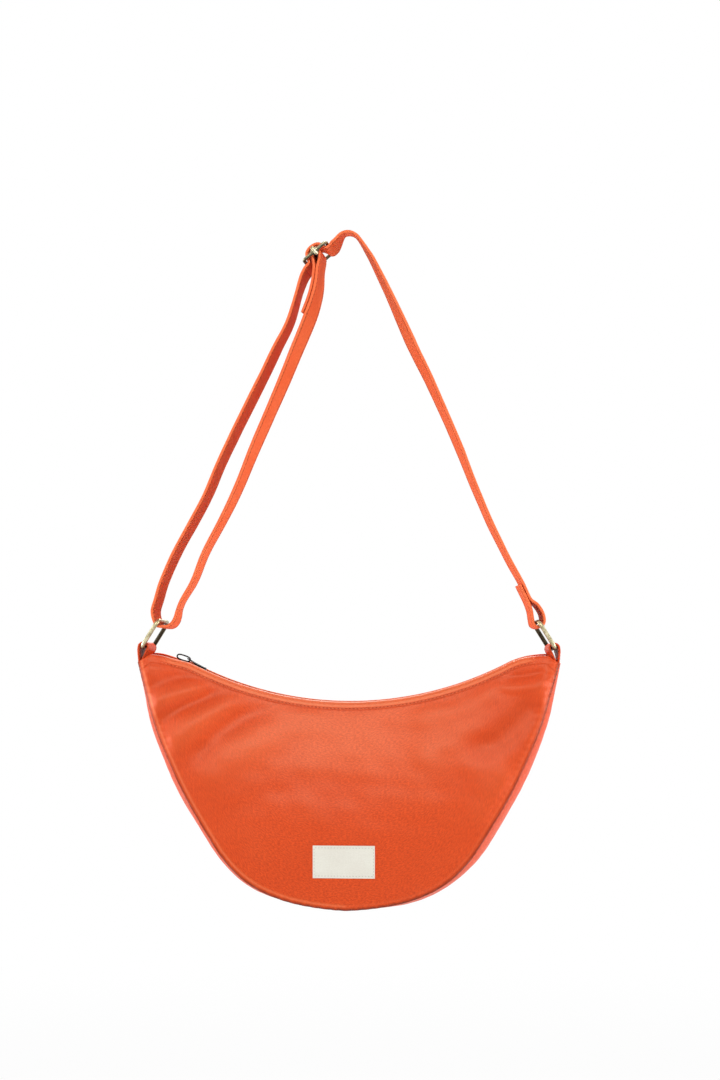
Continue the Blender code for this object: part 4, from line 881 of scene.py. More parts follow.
def zipPieces():
    level = -zipSize["sink"] - zipSize["teethHeight"] / 2
    outer = zipSize["teethInner"] + zipSize["teethWidth"]
    inside = bagSize["canvas"] / 2 + 2 * zipSize["clear"] + zipSize["tape"] / 2
    for name, side in (("front", -1), ("back", 1)):
        angle = np.linspace(-teethEnd, teethEnd, zipLook["columns"])
        rows = []
        # level from the teeth to the panel, then down along it
        tapeRows = [(share, 0.0) for share in np.linspace(0, 1, 8)]
        for share, drop in tapeRows + [(1.0, drop) for drop in (0.25, 0.5, 0.75, 1.0)]:
            x, z = zipPoint(angle, level - drop * zipSize["turnDown"])
            wall = panelDepth(x, z) - inside
            y = (outer + zipSize["clear"]) * (1 - share) + wall * share
            rows.append(np.stack([x, side * y, z], axis=-1))
        grid = np.array(rows)
        parts = [sheetPart(grid, zipSize["tape"], 4)]
        piece = makePiece("zipTape" + name.title(), parts, [zipTape, thread])
        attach(piece, "bag")
        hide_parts("zip_tape_" + name)
        # each tooth is a bent rod across the zip; a thin cord runs along their outer ends
        steps = int(2 * teethEnd * zipSize["radius"] / zipLook["toothPitch"])
        offset = 0.5 if side < 0 else 0.0
        spots = np.linspace(-teethEnd, teethEnd, steps + 1)[:-1]
        spots = spots + (offset + 0.25) * 2 * teethEnd / steps
        x, z = zipPoint(spots, level)
        reach = zipSize["teethInner"] + zipSize["teethWidth"] - zipLook["toothReach"]
        middle = side * (zipLook["toothReach"] + reach / 2)
        places = np.stack([x, np.full(len(x), middle), z], axis=-1)
        across = np.tile([0.0, 1.0, 0.0], (len(x), 1))
        normals = np.stack([-np.sin(spots), np.zeros(len(x)), np.cos(spots)], axis=-1)
        teeth = stitchPart(places, across, normals, reach, zipLook["toothRadius"], 0, 8)
        cordX, cordZ = zipPoint(angle, level)
        cord = np.stack([cordX, np.full(len(cordX), side * (outer - zipLook["cord"])), cordZ], axis=-1)
        parts = [teeth, tubePart(cord, zipLook["cord"], (0.0, 1.0, 0.0), 8)]
        piece = makePiece("zipCoil" + name.title(), parts, [zipCoil])
        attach(piece, "bag")
        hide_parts("zip_teeth_" + name)
    for name in ("zip_stop_left", "zip_stop_right"):
        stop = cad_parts[name]
        stop.data.materials.clear()
        stop.data.materials.append(gunmetal)


def zipEndPieces():
    # a short canvas bridge from the end of the zip to the tab, sagging a little between the panels
    start = (zipSize["radius"] + zipSize["sink"] + zipSize["teethHeight"]) * math.sin(
        teethEnd + 0.0018 / zipSize["radius"]) + 0.0006
    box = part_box("zip_end_right")
    for name, node, side in (("zipEndLeft", "zip_end_left", -1), ("zipEndRight", "zip_end_right", 1)):
        x = side * np.linspace(start, box[1].x, 40)
        w = np.linspace(-1, 1, 15)[:, None]
        z = topEdge(x) - bagSize["canvas"] / 2 - zipLook["endSink"]
        half = panelDepth(x, z) - bagSize["canvas"] / 2 - 0.0009
        z = z - 0.0003 * (1 - w**2)
        z = z + 0.00015 * ripple(x + 0 * w, w * 0.01, 41, 0.008)
        grid = np.stack([np.broadcast_to(x, z.shape), half * w, z], axis=-1)
        piece = makePiece(name, [sheetPart(grid, bagSize["canvas"] * 0.9, 4)], [canvas])
        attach(piece, "bag")
        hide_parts(node)


zipPieces()
zipEndPieces()
print("zip done")


# Woven label, bare

labelLook = {
    "thickness": 0.0005, "stitchIn": 0.0014, "stitchPitch": 0.0024, "stitchLength": 0.0014,
    "stitchRadius": 0.00022, "stitchDent": 0.00012, "lift": 0.00105, "pillow": 0.00018,
    "rows": 48, "columns": 90,
}


def labelPiece():
    look = labelLook
    width, height = bagSize["labelWidth"], bagSize["labelHeight"]
    rows, columns = look["rows"], look["columns"]
    x = np.linspace(-width / 2, width / 2, columns) + bagSize["labelX"]
    z = bagSize["tipZ"] - bagSize["labelBelow"] - np.linspace(0, height, rows)[:, None]
    x, z = np.broadcast_arrays(x, z)
    grid = np.stack([x, -panelDepth(x, z), z], axis=-1)
    normals = gridNormals(grid)
    if normals[..., 1].mean() > 0:
        normals = -normals
    u = (x - bagSize["labelX"]) / width * 2
    v = (z - bagSize["tipZ"] + bagSize["labelBelow"]) / height * 2 + 1
    edge = np.minimum((1 - np.abs(u)) * width / 2, (1 - np.abs(v)) * height / 2)
    lift = look["lift"] + look["pillow"] * ease(edge / 0.003)
    lift = lift - look["stitchDent"] * hump(edge - look["stitchIn"], 0.0006)
    grid = grid + normals * lift[..., None]
    parts = [sheetPart(grid, look["thickness"] * (0.75 + 0.25 * ease(edge / 0.0008)), 4)]
    inset = look["stitchIn"]
    rowsIn = int(round(inset / height * (rows - 1)))
    columnsIn = int(round(inset / width * (columns - 1)))
    loops = (
        (grid[rowsIn, columnsIn:-columnsIn], normals[rowsIn, columnsIn:-columnsIn]),
        (grid[-1 - rowsIn, columnsIn:-columnsIn], normals[-1 - rowsIn, columnsIn:-columnsIn]),
        (grid[rowsIn:-rowsIn, columnsIn], normals[rowsIn:-rowsIn, columnsIn]),
        (grid[rowsIn:-rowsIn, -1 - columnsIn], normals[rowsIn:-rowsIn, -1 - columnsIn]),
    )
    for path, turned in loops:
        parts.append(stitchRow(path, turned, look["stitchPitch"], look["stitchLength"],
                               look["stitchRadius"], look["thickness"] / 2 + 0.00004))
    piece = makePiece("labelPatch", parts, [labelCloth, labelThread])
    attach(piece, "bag")
    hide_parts("label")


labelPiece()


# Rings

ringLook = {
    "wire": 0.0035, "length": 0.025, "width": 0.0305, "corner": 0.0045, "strapReach": 0.153326,
    "strapZ": -0.3178, "twistDeg": 9.0, "leanDeg": 31.8,
}
lean = math.radians(ringLook["leanDeg"])
strapOutward = (math.cos(lean), math.sin(lean))


def leaned(side, twistDeg, outward):
    # the direction of a strap's width, turned towards its outer side by the twist
    tilt = math.tan(math.radians(twistDeg))
    return np.array([side * outward[0] * tilt, -1.0, outward[1] * tilt])


def roundedRectangle(length, width, corner, arcSteps, sideSteps):
    # quarter circles joined by straight runs; width along the first axis, length along the second
    points = []
    for k, (sx, sy) in enumerate(((1, 1), (-1, 1), (-1, -1), (1, -1))):
        centre = np.array([sx * (width / 2 - corner), sy * (length / 2 - corner)])
        angle = math.pi / 2 * (k + np.arange(arcSteps + 1) / arcSteps)
        arc = centre + corner * np.stack([np.cos(angle), np.sin(angle)], axis=1)
        points.append(arc)
    loop = []
    for k in range(4):
        loop.append(points[k])
        start, end = points[k][-1], points[(k + 1) % 4][0]
        t = np.linspace(0, 1, sideSteps + 2)[1:-1, None]
        loop.append(start + (end - start) * t)
    return np.vstack(loop)


def ringPiece(name, node, side, body):
    look = ringLook
    strapBar = np.array([side * look["strapReach"], 0, look["strapZ"]])
    tabBar = np.array([side * bagSize["tabReach"], 0, bagSize["tabBarZ"]])
    across = unit(leaned(side, look["twistDeg"], strapOutward))
    along = unit(strapBar - tabBar)
    flat = roundedRectangle(look["length"], look["width"], look["corner"], 10, 12)
    path = (strapBar + tabBar) / 2 + flat[:, :1] * across + flat[:, 1:] * along
    facing = np.cross(across, along)
    # the butt joint in the middle of the tab bar: a hair of a groove
    way = np.abs(np.linspace(0, 1, len(path)) - 0.62)
    radius = look["wire"] / 2 * (1 - 0.03 * hump(way, 0.006))
    centre = (strapBar + tabBar) / 2
    tube = tubePart(path, radius, facing, 20, True, dark=centre)
    piece = makePiece(name, [tube], [antiqueBrass])
    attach(piece, body)
    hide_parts(node)


ringPiece("leftRing", "left_ring", -1, "left_ring")
ringPiece("rightRing", "right_ring", 1, "right_ring")


# Folded tabs at the tips

tabLook = {
    "width": 0.024, "thickness": 0.0019, "slack": 0.0008, "footOut": 0.0034, "footDrop": 0.0115,
    "stitchIn": 0.0018, "stitchPitch": 0.0024, "gap": 0.0003, "rows": 22, "steps": 70,
}


def tabPiece(name, node, side):
    look = tabLook
    bar = np.array([side * bagSize["tabReach"], bagSize["tabBarZ"]])
    foot = bar + (side * look["footOut"], -look["footDrop"])
    radius = ringLook["wire"] / 2 + look["slack"] + look["thickness"] / 2
    layer = look["thickness"] / 2 + look["gap"]
    out, up = np.array([side, 0.0]), np.array([0.0, 1.0])
    points = [
        foot - out * layer,
        foot - out * layer + up * radius * 0.3,
        bar - out * radius * 0.95 - up * radius * 0.55,
        bar - out * radius * 0.92 + up * radius * 0.55,
        bar + up * radius * 1.02,
        bar + out * radius * 0.92 + up * radius * 0.55,
        bar + out * radius * 1.18 - up * radius * 0.55,
        foot + out * layer + up * radius * 0.3,
        foot + out * layer,
    ]
    path = equalSteps(smoothCurve(points), look["steps"])
    straight = np.array([0.0, -1.0, 0.0])
    leaning = leaned(side, ringLook["twistDeg"], strapOutward)
    directions = [(0, straight), (0.25, leaning), (0.75, leaning), (1, straight)]
    parts = ribbonParts(path, directions, look["width"], look["thickness"], look["rows"],
                        look["stitchIn"], look["stitchPitch"])
    piece = makePiece(name, parts, [canvas, thread])
    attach(piece, "bag")
    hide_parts(node)


def ribbonParts(path, directions, width, thickness, rows, stitchIn, pitch, ripples=0.0, seed=0,
                beyond=(None, None)):
    # a flat strip along a path in XZ, its width direction read from (share, direction) pairs;
    # it thins at its edges and dips under its two rows of stitches. Where it goes on in another
    # piece, beyond holds the next place there, so that both ends turn the same way
    shares = np.array([share for share, _ in directions])
    vectors = np.array([vector for _, vector in directions])
    way = wayAlong(path)
    share = way / way[-1]
    across = unit(readAt(share, shares, vectors))
    middle = np.stack([path[:, 0], np.zeros(len(path)), path[:, 1]], axis=1)
    s = np.sin(np.linspace(-math.pi / 2, math.pi / 2, rows))[:, None]
    s = 0.35 * s + 0.65 * np.linspace(-1, 1, rows)[:, None]
    halfWidth = width / 2 - thickness * 0.5
    grid = middle[None] + across[None] * (s * halfWidth)[..., None]
    first, last = (
        grid[:, :0] if place is None else
        grid[:, end, None] + np.array([place[0] - path[end, 0], 0.0, place[1] - path[end, 1]])
        for place, end in zip(beyond, (0, -1))
    )
    inner = slice(first.shape[1], first.shape[1] + len(path))
    normals = gridNormals(np.concatenate([first, grid, last], axis=1))[:, inner]
    edge = (1 - np.abs(s)) * halfWidth + thickness * 0.5
    dent = hump(edge - stitchIn, 0.0007)
    inside = ease(share / 0.08) * ease((1 - share) / 0.08)
    uneven = 1 + 0.05 * inside * ripple(way[None] + 0 * s, s * halfWidth, seed + 50, 0.012)
    body = thickness * (0.96 - 0.16 * dent - 0.08 * hump(s, 0.5)) * uneven
    body = np.minimum(body, thickness)
    if ripples:
        wave = ripples * ripple(way[None] + 0 * s, s * 0.004, seed, 0.035) * inside
        grid = grid + normals * wave[..., None]
        normals = gridNormals(np.concatenate([first, grid, last], axis=1))[:, inner]
    # painted shade along the sunken stitch rows, painted highlight on the edges outside them
    paintedLightAndPatina = 0.75 * hump(edge - stitchIn, 0.0008) + 0 * way
    paintedLightAndPatina = paintedLightAndPatina - 0.5 * ease((stitchIn - 0.0007 - edge) / 0.0007)
    parts = [sheetPart(grid, body, 6, normals=normals, paintedLightAndPatina=paintedLightAndPatina)]
    for face in (1, -1):
        for edgeSide in (-1, 1):
            place = edgeSide * (1 - (stitchIn - thickness * 0.5) / halfWidth)
            row = int(np.abs(s[:, 0] - place).argmin())
            lift = float(body[row].mean()) / 2 + 0.00006
            parts.append(stitchRow(grid[row], normals[row] * face, pitch, pitch * 0.74, 0.00025,
                                   lift))
    return parts


tabPiece("leftTab", "left_tab", -1)
tabPiece("rightTab", "right_tab", 1)
print("label, rings and tabs done")


# Strap: one webbing in nine lengths, all cut from smooth curves through these places

strapLook = {
    "width": 0.025, "thickness": 0.0024, "reach": 0.153326, "drop": 0.3178, "flat": 0.0035,
    "rows": 30, "step": 0.0011, "stitchIn": 0.0023, "pitch": 0.0032,
    "sliderOut": 0.0247, "sliderDown": 0.0176, "sliderTiltDeg": 40.0, "sliderTwistDeg": 12.0,
    "sliderWire": 0.0028, "sliderLength": 0.0260, "sliderInner": 0.0280, "sliderCorner": 0.0030,
    "bar": 0.0030, "endLoop": 0.0500, "endBow": 0.0030, "turnSlack": 0.0009,
    "junctionIn": 0.0070, "junctionUp": 0.0179, "tail": 0.0145, "main": 0.0180,
    "gap": 0.0003, "barSlack": 0.0004, "crown": 0.0006, "ripple": 0.00035, "feedDeg": 16.0,
    "outerTopDeg": 6.0, "outerDeg": 11.0, "afterRingDeg": 2.0, "endLoopDeg": 20.0,
    "collar": 0.0025, "collarReach": 0.0030, "endOut": 0.0010, "endReach": 0.0040,
    "endRadius": 0.0018,
}
strapRoutes = {
    "outer": ((0.249, 0.125), (0.310, 0.221), (0.387, 0.298), (0.519, 0.427), (0.652, 0.556),
              (0.770, 0.685), (0.915, 0.814), (0.987, 0.891), (1.0215, 0.943)),
    "inner": ((0.217, 0.221), (0.278, 0.298), (0.391, 0.427), (0.508, 0.556), (0.620, 0.685),
              (0.760, 0.814), (0.826, 0.891), (0.888, 0.943)),
    "feed": ((0.0287, 0.0002), (0.0359, 0.0035), (0.0457, 0.0104), (0.0587, 0.0211)),
    "shoulder": ((0.031, 0.0003), (0.047, 0.0058), (0.069, 0.020), (0.095, 0.040), (0.127, 0.066)),
    "right": ((0.179, 0.117), (0.230, 0.169), (0.302, 0.246), (0.353, 0.298), (0.479, 0.427),
              (0.594, 0.556), (0.701, 0.685), (0.824, 0.814)),
    "rightTwists": ((0.0, 8.0), (0.12, 13.0), (0.25, 18.0), (0.45, 14.0), (0.8, 10.5), (1.0, 8.5)),
    "turn": ((-1.50, 2.57), (-1.48, 1.25), (-1.14, 0.10), (-0.60, -0.93), (0.38, -1.16),
             (1.40, -1.14), (2.20, -0.74), (2.85, 0.05), (3.28, 1.25), (3.58, 2.57)),
    "loop": ((-1.40, 2.50), (-1.12, 0.75), (-0.80, -0.60), (0.02, -1.03), (0.86, -0.80),
             (1.35, 0.25), (1.02, 2.00), (-0.10, 3.70)),
}
turnRadius = ringLook["wire"] / 2 + strapLook["turnSlack"] + strapLook["thickness"] / 2
layerStep = strapLook["thickness"] + strapLook["gap"]
rail = strapLook["sliderLength"] / 2 - strapLook["sliderWire"] / 2
wrapRadius = strapLook["bar"] / 2 + strapLook["barSlack"] + strapLook["thickness"] / 2
tilt = math.radians(strapLook["sliderTiltDeg"])
sliderCentre = np.array([-strapLook["sliderOut"], -strapLook["sliderDown"]])
sliderAlong = np.array([math.cos(tilt), math.sin(tilt)])
sliderNormal = np.array([-math.sin(tilt), math.cos(tilt)])


def route(name, side):
    scale = np.array([side * strapLook["reach"], -strapLook["drop"]])
    return [tuple(np.array(share) * scale) for share in strapRoutes[name]]


def sections(lists):
    # one smooth curve through all lists, cut where they meet, so that neighbours share their ends
    points = [lists[0][0]]
    for places in lists:
        points.extend(places[1:])
    curve = smoothCurve(points)
    cut, start = [], 0
    for places in lists:
        end = start + (len(places) - 1) * spanSteps
        length = wayAlong(curve[start : end + 1])[-1]
        cut.append(equalSteps(curve[start : end + 1], max(int(length / strapLook["step"]), 8)))
        start = end
    # each length with the place that follows it in the curve at either end
    before = [None] + [path[-2] for path in cut[:-1]]
    after = [path[1] for path in cut[1:]] + [None]
    return list(zip(cut, zip(before, after)))


def weavePoints():
    # under the upper rail, over the centre bar and its wrap, and under the lower rail
    over = wrapRadius + strapLook["thickness"] + strapLook["gap"]
    under = strapLook["sliderWire"] / 2 + 2 * strapLook["gap"] + strapLook["thickness"] / 2
    bend, slot = under * math.sqrt(0.5), rail - under
    shares = (
        (rail + under * 1.2, -under * 0.82), (rail, -under * 1.03),
        (rail - bend * 1.05, -bend * 1.05), (slot, 0.0), (slot * 0.78, over * 0.66),
        (slot * 0.42, over * 0.97), (0.0, over * 1.06), (-slot * 0.42, over * 0.97),
        (-slot * 0.78, over * 0.66), (-slot, 0.0), (-rail + bend * 1.05, -bend * 1.05),
        (-rail, -under * 1.04), (-rail - under * 1.2, -under * 1.25),
    )
    return [sliderCentre + sliderAlong * a + sliderNormal * b for a, b in shares]


def endLoopPoints():
    # up from the inner run, over the centre bar and down again, both layers bowed alike
    target = np.array(route("inner", -1)[0])
    down = unit(target - sliderCentre)
    right = np.array([-down[1], down[0]])
    length, layer = strapLook["endLoop"], layerStep / 2
    places = [(layer, length * k) for k in (1.0, 0.72, 0.48, 0.24)]
    places += [
        (wrapRadius * 0.86, wrapRadius * 1.5), (wrapRadius, 0.0),
        (wrapRadius * 0.72, -wrapRadius * 0.72), (0.0, -wrapRadius * 1.02),
        (-wrapRadius * 0.72, -wrapRadius * 0.72), (-wrapRadius, 0.0),
        (-wrapRadius * 0.86, wrapRadius * 1.5),
    ]
    places += [(-layer, length * k) for k in (0.24, 0.48, 0.72, 1.0)]
    bow = strapLook["endBow"]
    return [
        sliderCentre + right * (s + bow * math.sin(math.pi * max(d, 0) / length)) + down * d
        for s, d in places
    ]


def rightLoopPoints():
    # down to the ring, round its strap bar and back up as the sewn tail
    bar = np.array([strapLook["reach"], -strapLook["drop"]])
    junction = bar + (-strapLook["junctionIn"], strapLook["junctionUp"])
    above = np.array(route("right", 1)[-1])
    up = unit(above - junction)
    outer = np.array([up[1], -up[0]])
    main, tail = junction + outer * layerStep / 2, junction - outer * layerStep / 2
    turn = [bar + turnRadius * np.array(share) for share in strapRoutes["loop"]]
    mainLayer = [main + up * strapLook["main"] * k for k in (1.0, 0.5, 0.0)]
    tailLayer = [tail + up * strapLook["tail"] * k for k in (0.0, 0.5, 1.0)]
    return mainLayer + turn[::-1] + tailLayer


def strapPiece(name, node, section, directions, seed, ripples=strapLook["ripple"]):
    look = strapLook
    path, beyond = section
    parts = ribbonParts(path, directions, look["width"], look["thickness"], look["rows"],
                        look["stitchIn"], look["pitch"], ripples, seed, beyond=beyond)
    piece = makePiece(name, parts, [webbing, thread])
    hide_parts(node)
    return piece


def strapPieces():
    # a crown over the apex that falls with the square of the distance from its middle
    flat = [(strapLook["flat"] * s, strapLook["thickness"] / 2 - strapLook["crown"] * s**2)
            for s in (-1.0, -0.5, 0.0, 0.5, 1.0)]
    shoulder, loop = route("shoulder", 1), rightLoopPoints()
    top, run, loopPath = sections([
        [*flat, *shoulder], [shoulder[-1], *route("right", 1), loop[0]], loop,
    ])
    straight = np.array([0.0, -1.0, 0.0])
    twisted = [(share, leaned(1, deg, strapOutward)) for share, deg in strapRoutes["rightTwists"]]
    flatShare = 2.5 * strapLook["flat"] / wayAlong(top[0])[-1]
    directions = [(0, straight), (flatShare, straight), (1, twisted[0][1])]
    rightRun = strapPiece("strapRightRun", "strap_right_run", run, twisted, 2)
    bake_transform(rightRun)
    loopDirections = [(0, twisted[-1][1]), (1, twisted[-1][1])]
    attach(strapPiece("strapRightLoop", "strap_right_loop", loopPath, loopDirections, 3, 0.0),
            "right_end")

    weaveList, endList = weavePoints(), endLoopPoints()
    turnCentre = np.array([-strapLook["reach"], -strapLook["drop"]])
    turnList = [turnCentre + turnRadius * np.array(share) for share in strapRoutes["turn"]]
    feed, weavePath, outer, turn, inner, endLoop = sections([
        [flat[0], *route("feed", -1), weaveList[0]],
        weaveList,
        [weaveList[-1], *route("outer", -1), turnList[0]],
        turnList,
        [turnList[-1], *route("inner", -1)[:0:-1], endList[0]],
        endList,
    ])
    atSlider = leaned(1, strapLook["sliderTwistDeg"], sliderNormal)
    feeding = leaned(1, strapLook["feedDeg"], sliderNormal)
    atRing = leaned(-1, ringLook["twistDeg"], strapOutward)
    afterRing = leaned(-1, strapLook["afterRingDeg"], strapOutward)
    atEndLoop = leaned(-1, strapLook["endLoopDeg"], strapOutward)
    alongOuter = leaned(-1, strapLook["outerDeg"], strapOutward)
    outerTop = leaned(-1, strapLook["outerTopDeg"], strapOutward)
    feed, top = (feed[0], (top[0][1], feed[1][1])), (top[0], (feed[0][1], top[1][1]))
    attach(strapPiece("strapTop", "strap_top", top, directions, 1, 0.0), "strap")
    feedPiece = strapPiece("strapFeed", "strap_feed", feed,
                           [(0, straight), (1, feeding)], 4, 0.0)
    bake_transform(feedPiece)
    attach(strapPiece("strapWeave", "strap_weave", weavePath,
                       [(0, feeding), (0.2, atSlider), (1, atSlider)], 5, 0.0), "strap_slider")
    outerPiece = strapPiece("strapOuterRun", "strap_outer_run", outer,
                            [(0, atSlider), (0.06, outerTop), (0.25, alongOuter), (1, atRing)], 6)
    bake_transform(outerPiece)
    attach(strapPiece("strapLeftTurn", "strap_left_turn", turn,
                       [(0, atRing), (0.55, atRing), (1, afterRing)], 7, 0.0), "left_end")
    innerPiece = strapPiece("strapInnerRun", "strap_inner_run", inner,
                            [(0, afterRing), (1, atEndLoop)], 8)
    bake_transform(innerPiece)
    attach(strapPiece("strapEndLoop", "strap_end_loop", endLoop,
                       [(0, atEndLoop), (0.4, atSlider), (0.6, atSlider), (1, atEndLoop)], 9, 0.0),
            "strap_slider")


strapPieces()
print("strap done")


# Strap slider: a rounded frame with a centre bar pressed onto its sides

def strapSliderPieces():
    look = strapLook
    across = unit(leaned(1, look["sliderTwistDeg"], sliderNormal))
    along = np.array([sliderAlong[0], 0.0, sliderAlong[1]])
    along = unit(along - across * (along @ across))
    facing = np.cross(across, along)
    centre = np.array([sliderCentre[0], 0.0, sliderCentre[1]])
    flat = roundedRectangle(look["sliderLength"] - look["sliderWire"],
                            look["sliderInner"] + look["sliderWire"], look["sliderCorner"], 10, 12)
    path = centre + flat[:, :1] * across + flat[:, 1:] * along
    # painted shade: frame, bar and collars darken on their lower and front sides, their tops stay
    # bright
    below, tone = centre + (0.0, -0.6, -1.0), (0.55, 0.36)
    tube = tubePart(path, look["sliderWire"] / 2, facing, 20, True, dark=below, tone=tone)
    piece = makePiece("sliderFrame", [tube], [antiqueBrass])
    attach(piece, "strap_slider")
    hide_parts("slider_frame")
    side = (look["sliderInner"] + look["sliderWire"]) / 2
    bar = centre + np.linspace(-side + 0.001, side - 0.001, 24)[:, None] * across
    parts = [tubePart(bar, look["bar"] / 2, facing, 20, dark=below, tone=tone)]
    for end in (-1, 1):
        # a collar round the frame's side, fattest in its middle and turned in at its ends
        t = np.linspace(-1, 1, 25)
        reach = np.sign(t) * np.minimum(np.abs(t) * 1.15, 1.0)
        swell = look["collar"] * (1 - 0.10 * t**2)
        turnedIn = 1 - ((np.abs(t) - 0.88) / 0.12) ** 2 * 0.38
        swell = np.where(np.abs(t) > 0.88, swell * turnedIn, swell)
        spine = centre + end * side * across + (reach * look["collarReach"])[:, None] * along
        # a hair apart, where the reach stands still, so that every step has a direction
        spine = spine + (t * 1e-6)[:, None] * along
        parts.append(tubePart(spine, swell, facing, 24, dark=below, tone=tone))
        # the bar's flattened end lies across the frame
        cross = centre + end * (side + look["endOut"]) * across
        cross = cross + (t * look["endReach"])[:, None] * facing
        taper = look["endRadius"] * (1 - 0.55 * t**8)
        parts.append(tubePart(cross, taper, along, 20, dark=below, tone=(0.5, 0.15)))
    piece = makePiece("sliderBar", parts, [antiqueBrass])
    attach(piece, "strap_slider")
    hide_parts("slider_bar")


strapSliderPieces()


# Zip slider, its pull and the wire ring on it

pullLook = {
    "rise": 0.0022, "width": 0.0056, "length": 0.0169, "plate": 0.0015, "barrel": 0.0030,
    "riseDeg": 7.0, "hole": 0.0040, "holeEdge": 0.0028, "ringLength": 0.0112, "ringHeight": 0.0042,
    "ringWire": 0.0012, "droopDeg": 13.0, "rollDeg": 20.0, "squareness": 2.8,
    "bailWire": 0.0012, "bailSpan": 0.0037, "square": 0.35, "chamfer": (0.984, 0.97),
    "thick": 0.70, "thinning": 0.49,
}


def plateOutline(length, frontWidth, backWidth, power, count):
    # a superellipse whose width changes along its length; starts and ends beside its far tip
    angle = 2 * math.pi * (np.arange(count) + 0.5) / count
    c, s = np.cos(angle), np.sin(angle)
    x, y = signedPower(c, 2 / power), signedPower(s, 2 / power)
    width = backWidth + (frontWidth - backWidth) * ease((x + 1) / 2)
    return np.stack([x * length / 2, y * width / 2], axis=1)


def platePart(outline, low, high, edge, crown=0.0):
    # the outline at rising heights, drawn in along quarter circles at both faces
    turn = np.linspace(0, math.pi / 2, 5)
    heights = [low + edge * (1 - np.sin(turn)[::-1]), high - edge * (1 - np.sin(turn))]
    heights = np.concatenate(heights)
    drawn = np.concatenate([edge * (1 - np.cos(turn)[::-1]), edge * (1 - np.cos(turn))])
    normal = unit(outline)
    rings = []
    for height, inward in zip(heights, drawn):
        flat = outline - normal * inward
        rings.append(np.column_stack([flat, np.full(len(flat), height)]))
    for share in (0.85, 0.6, 0.3):
        flat = outline * share
        rise = crown * (1 - share**2)
        rings.append(np.column_stack([flat, np.full(len(flat), high + rise)]))
    return loft(np.array(rings))


def placed(part, xAxis, yAxis, zAxis, centre):
    turned = part["points"] @ np.array([xAxis, yAxis, zAxis]) + centre
    return {**part, "points": turned}


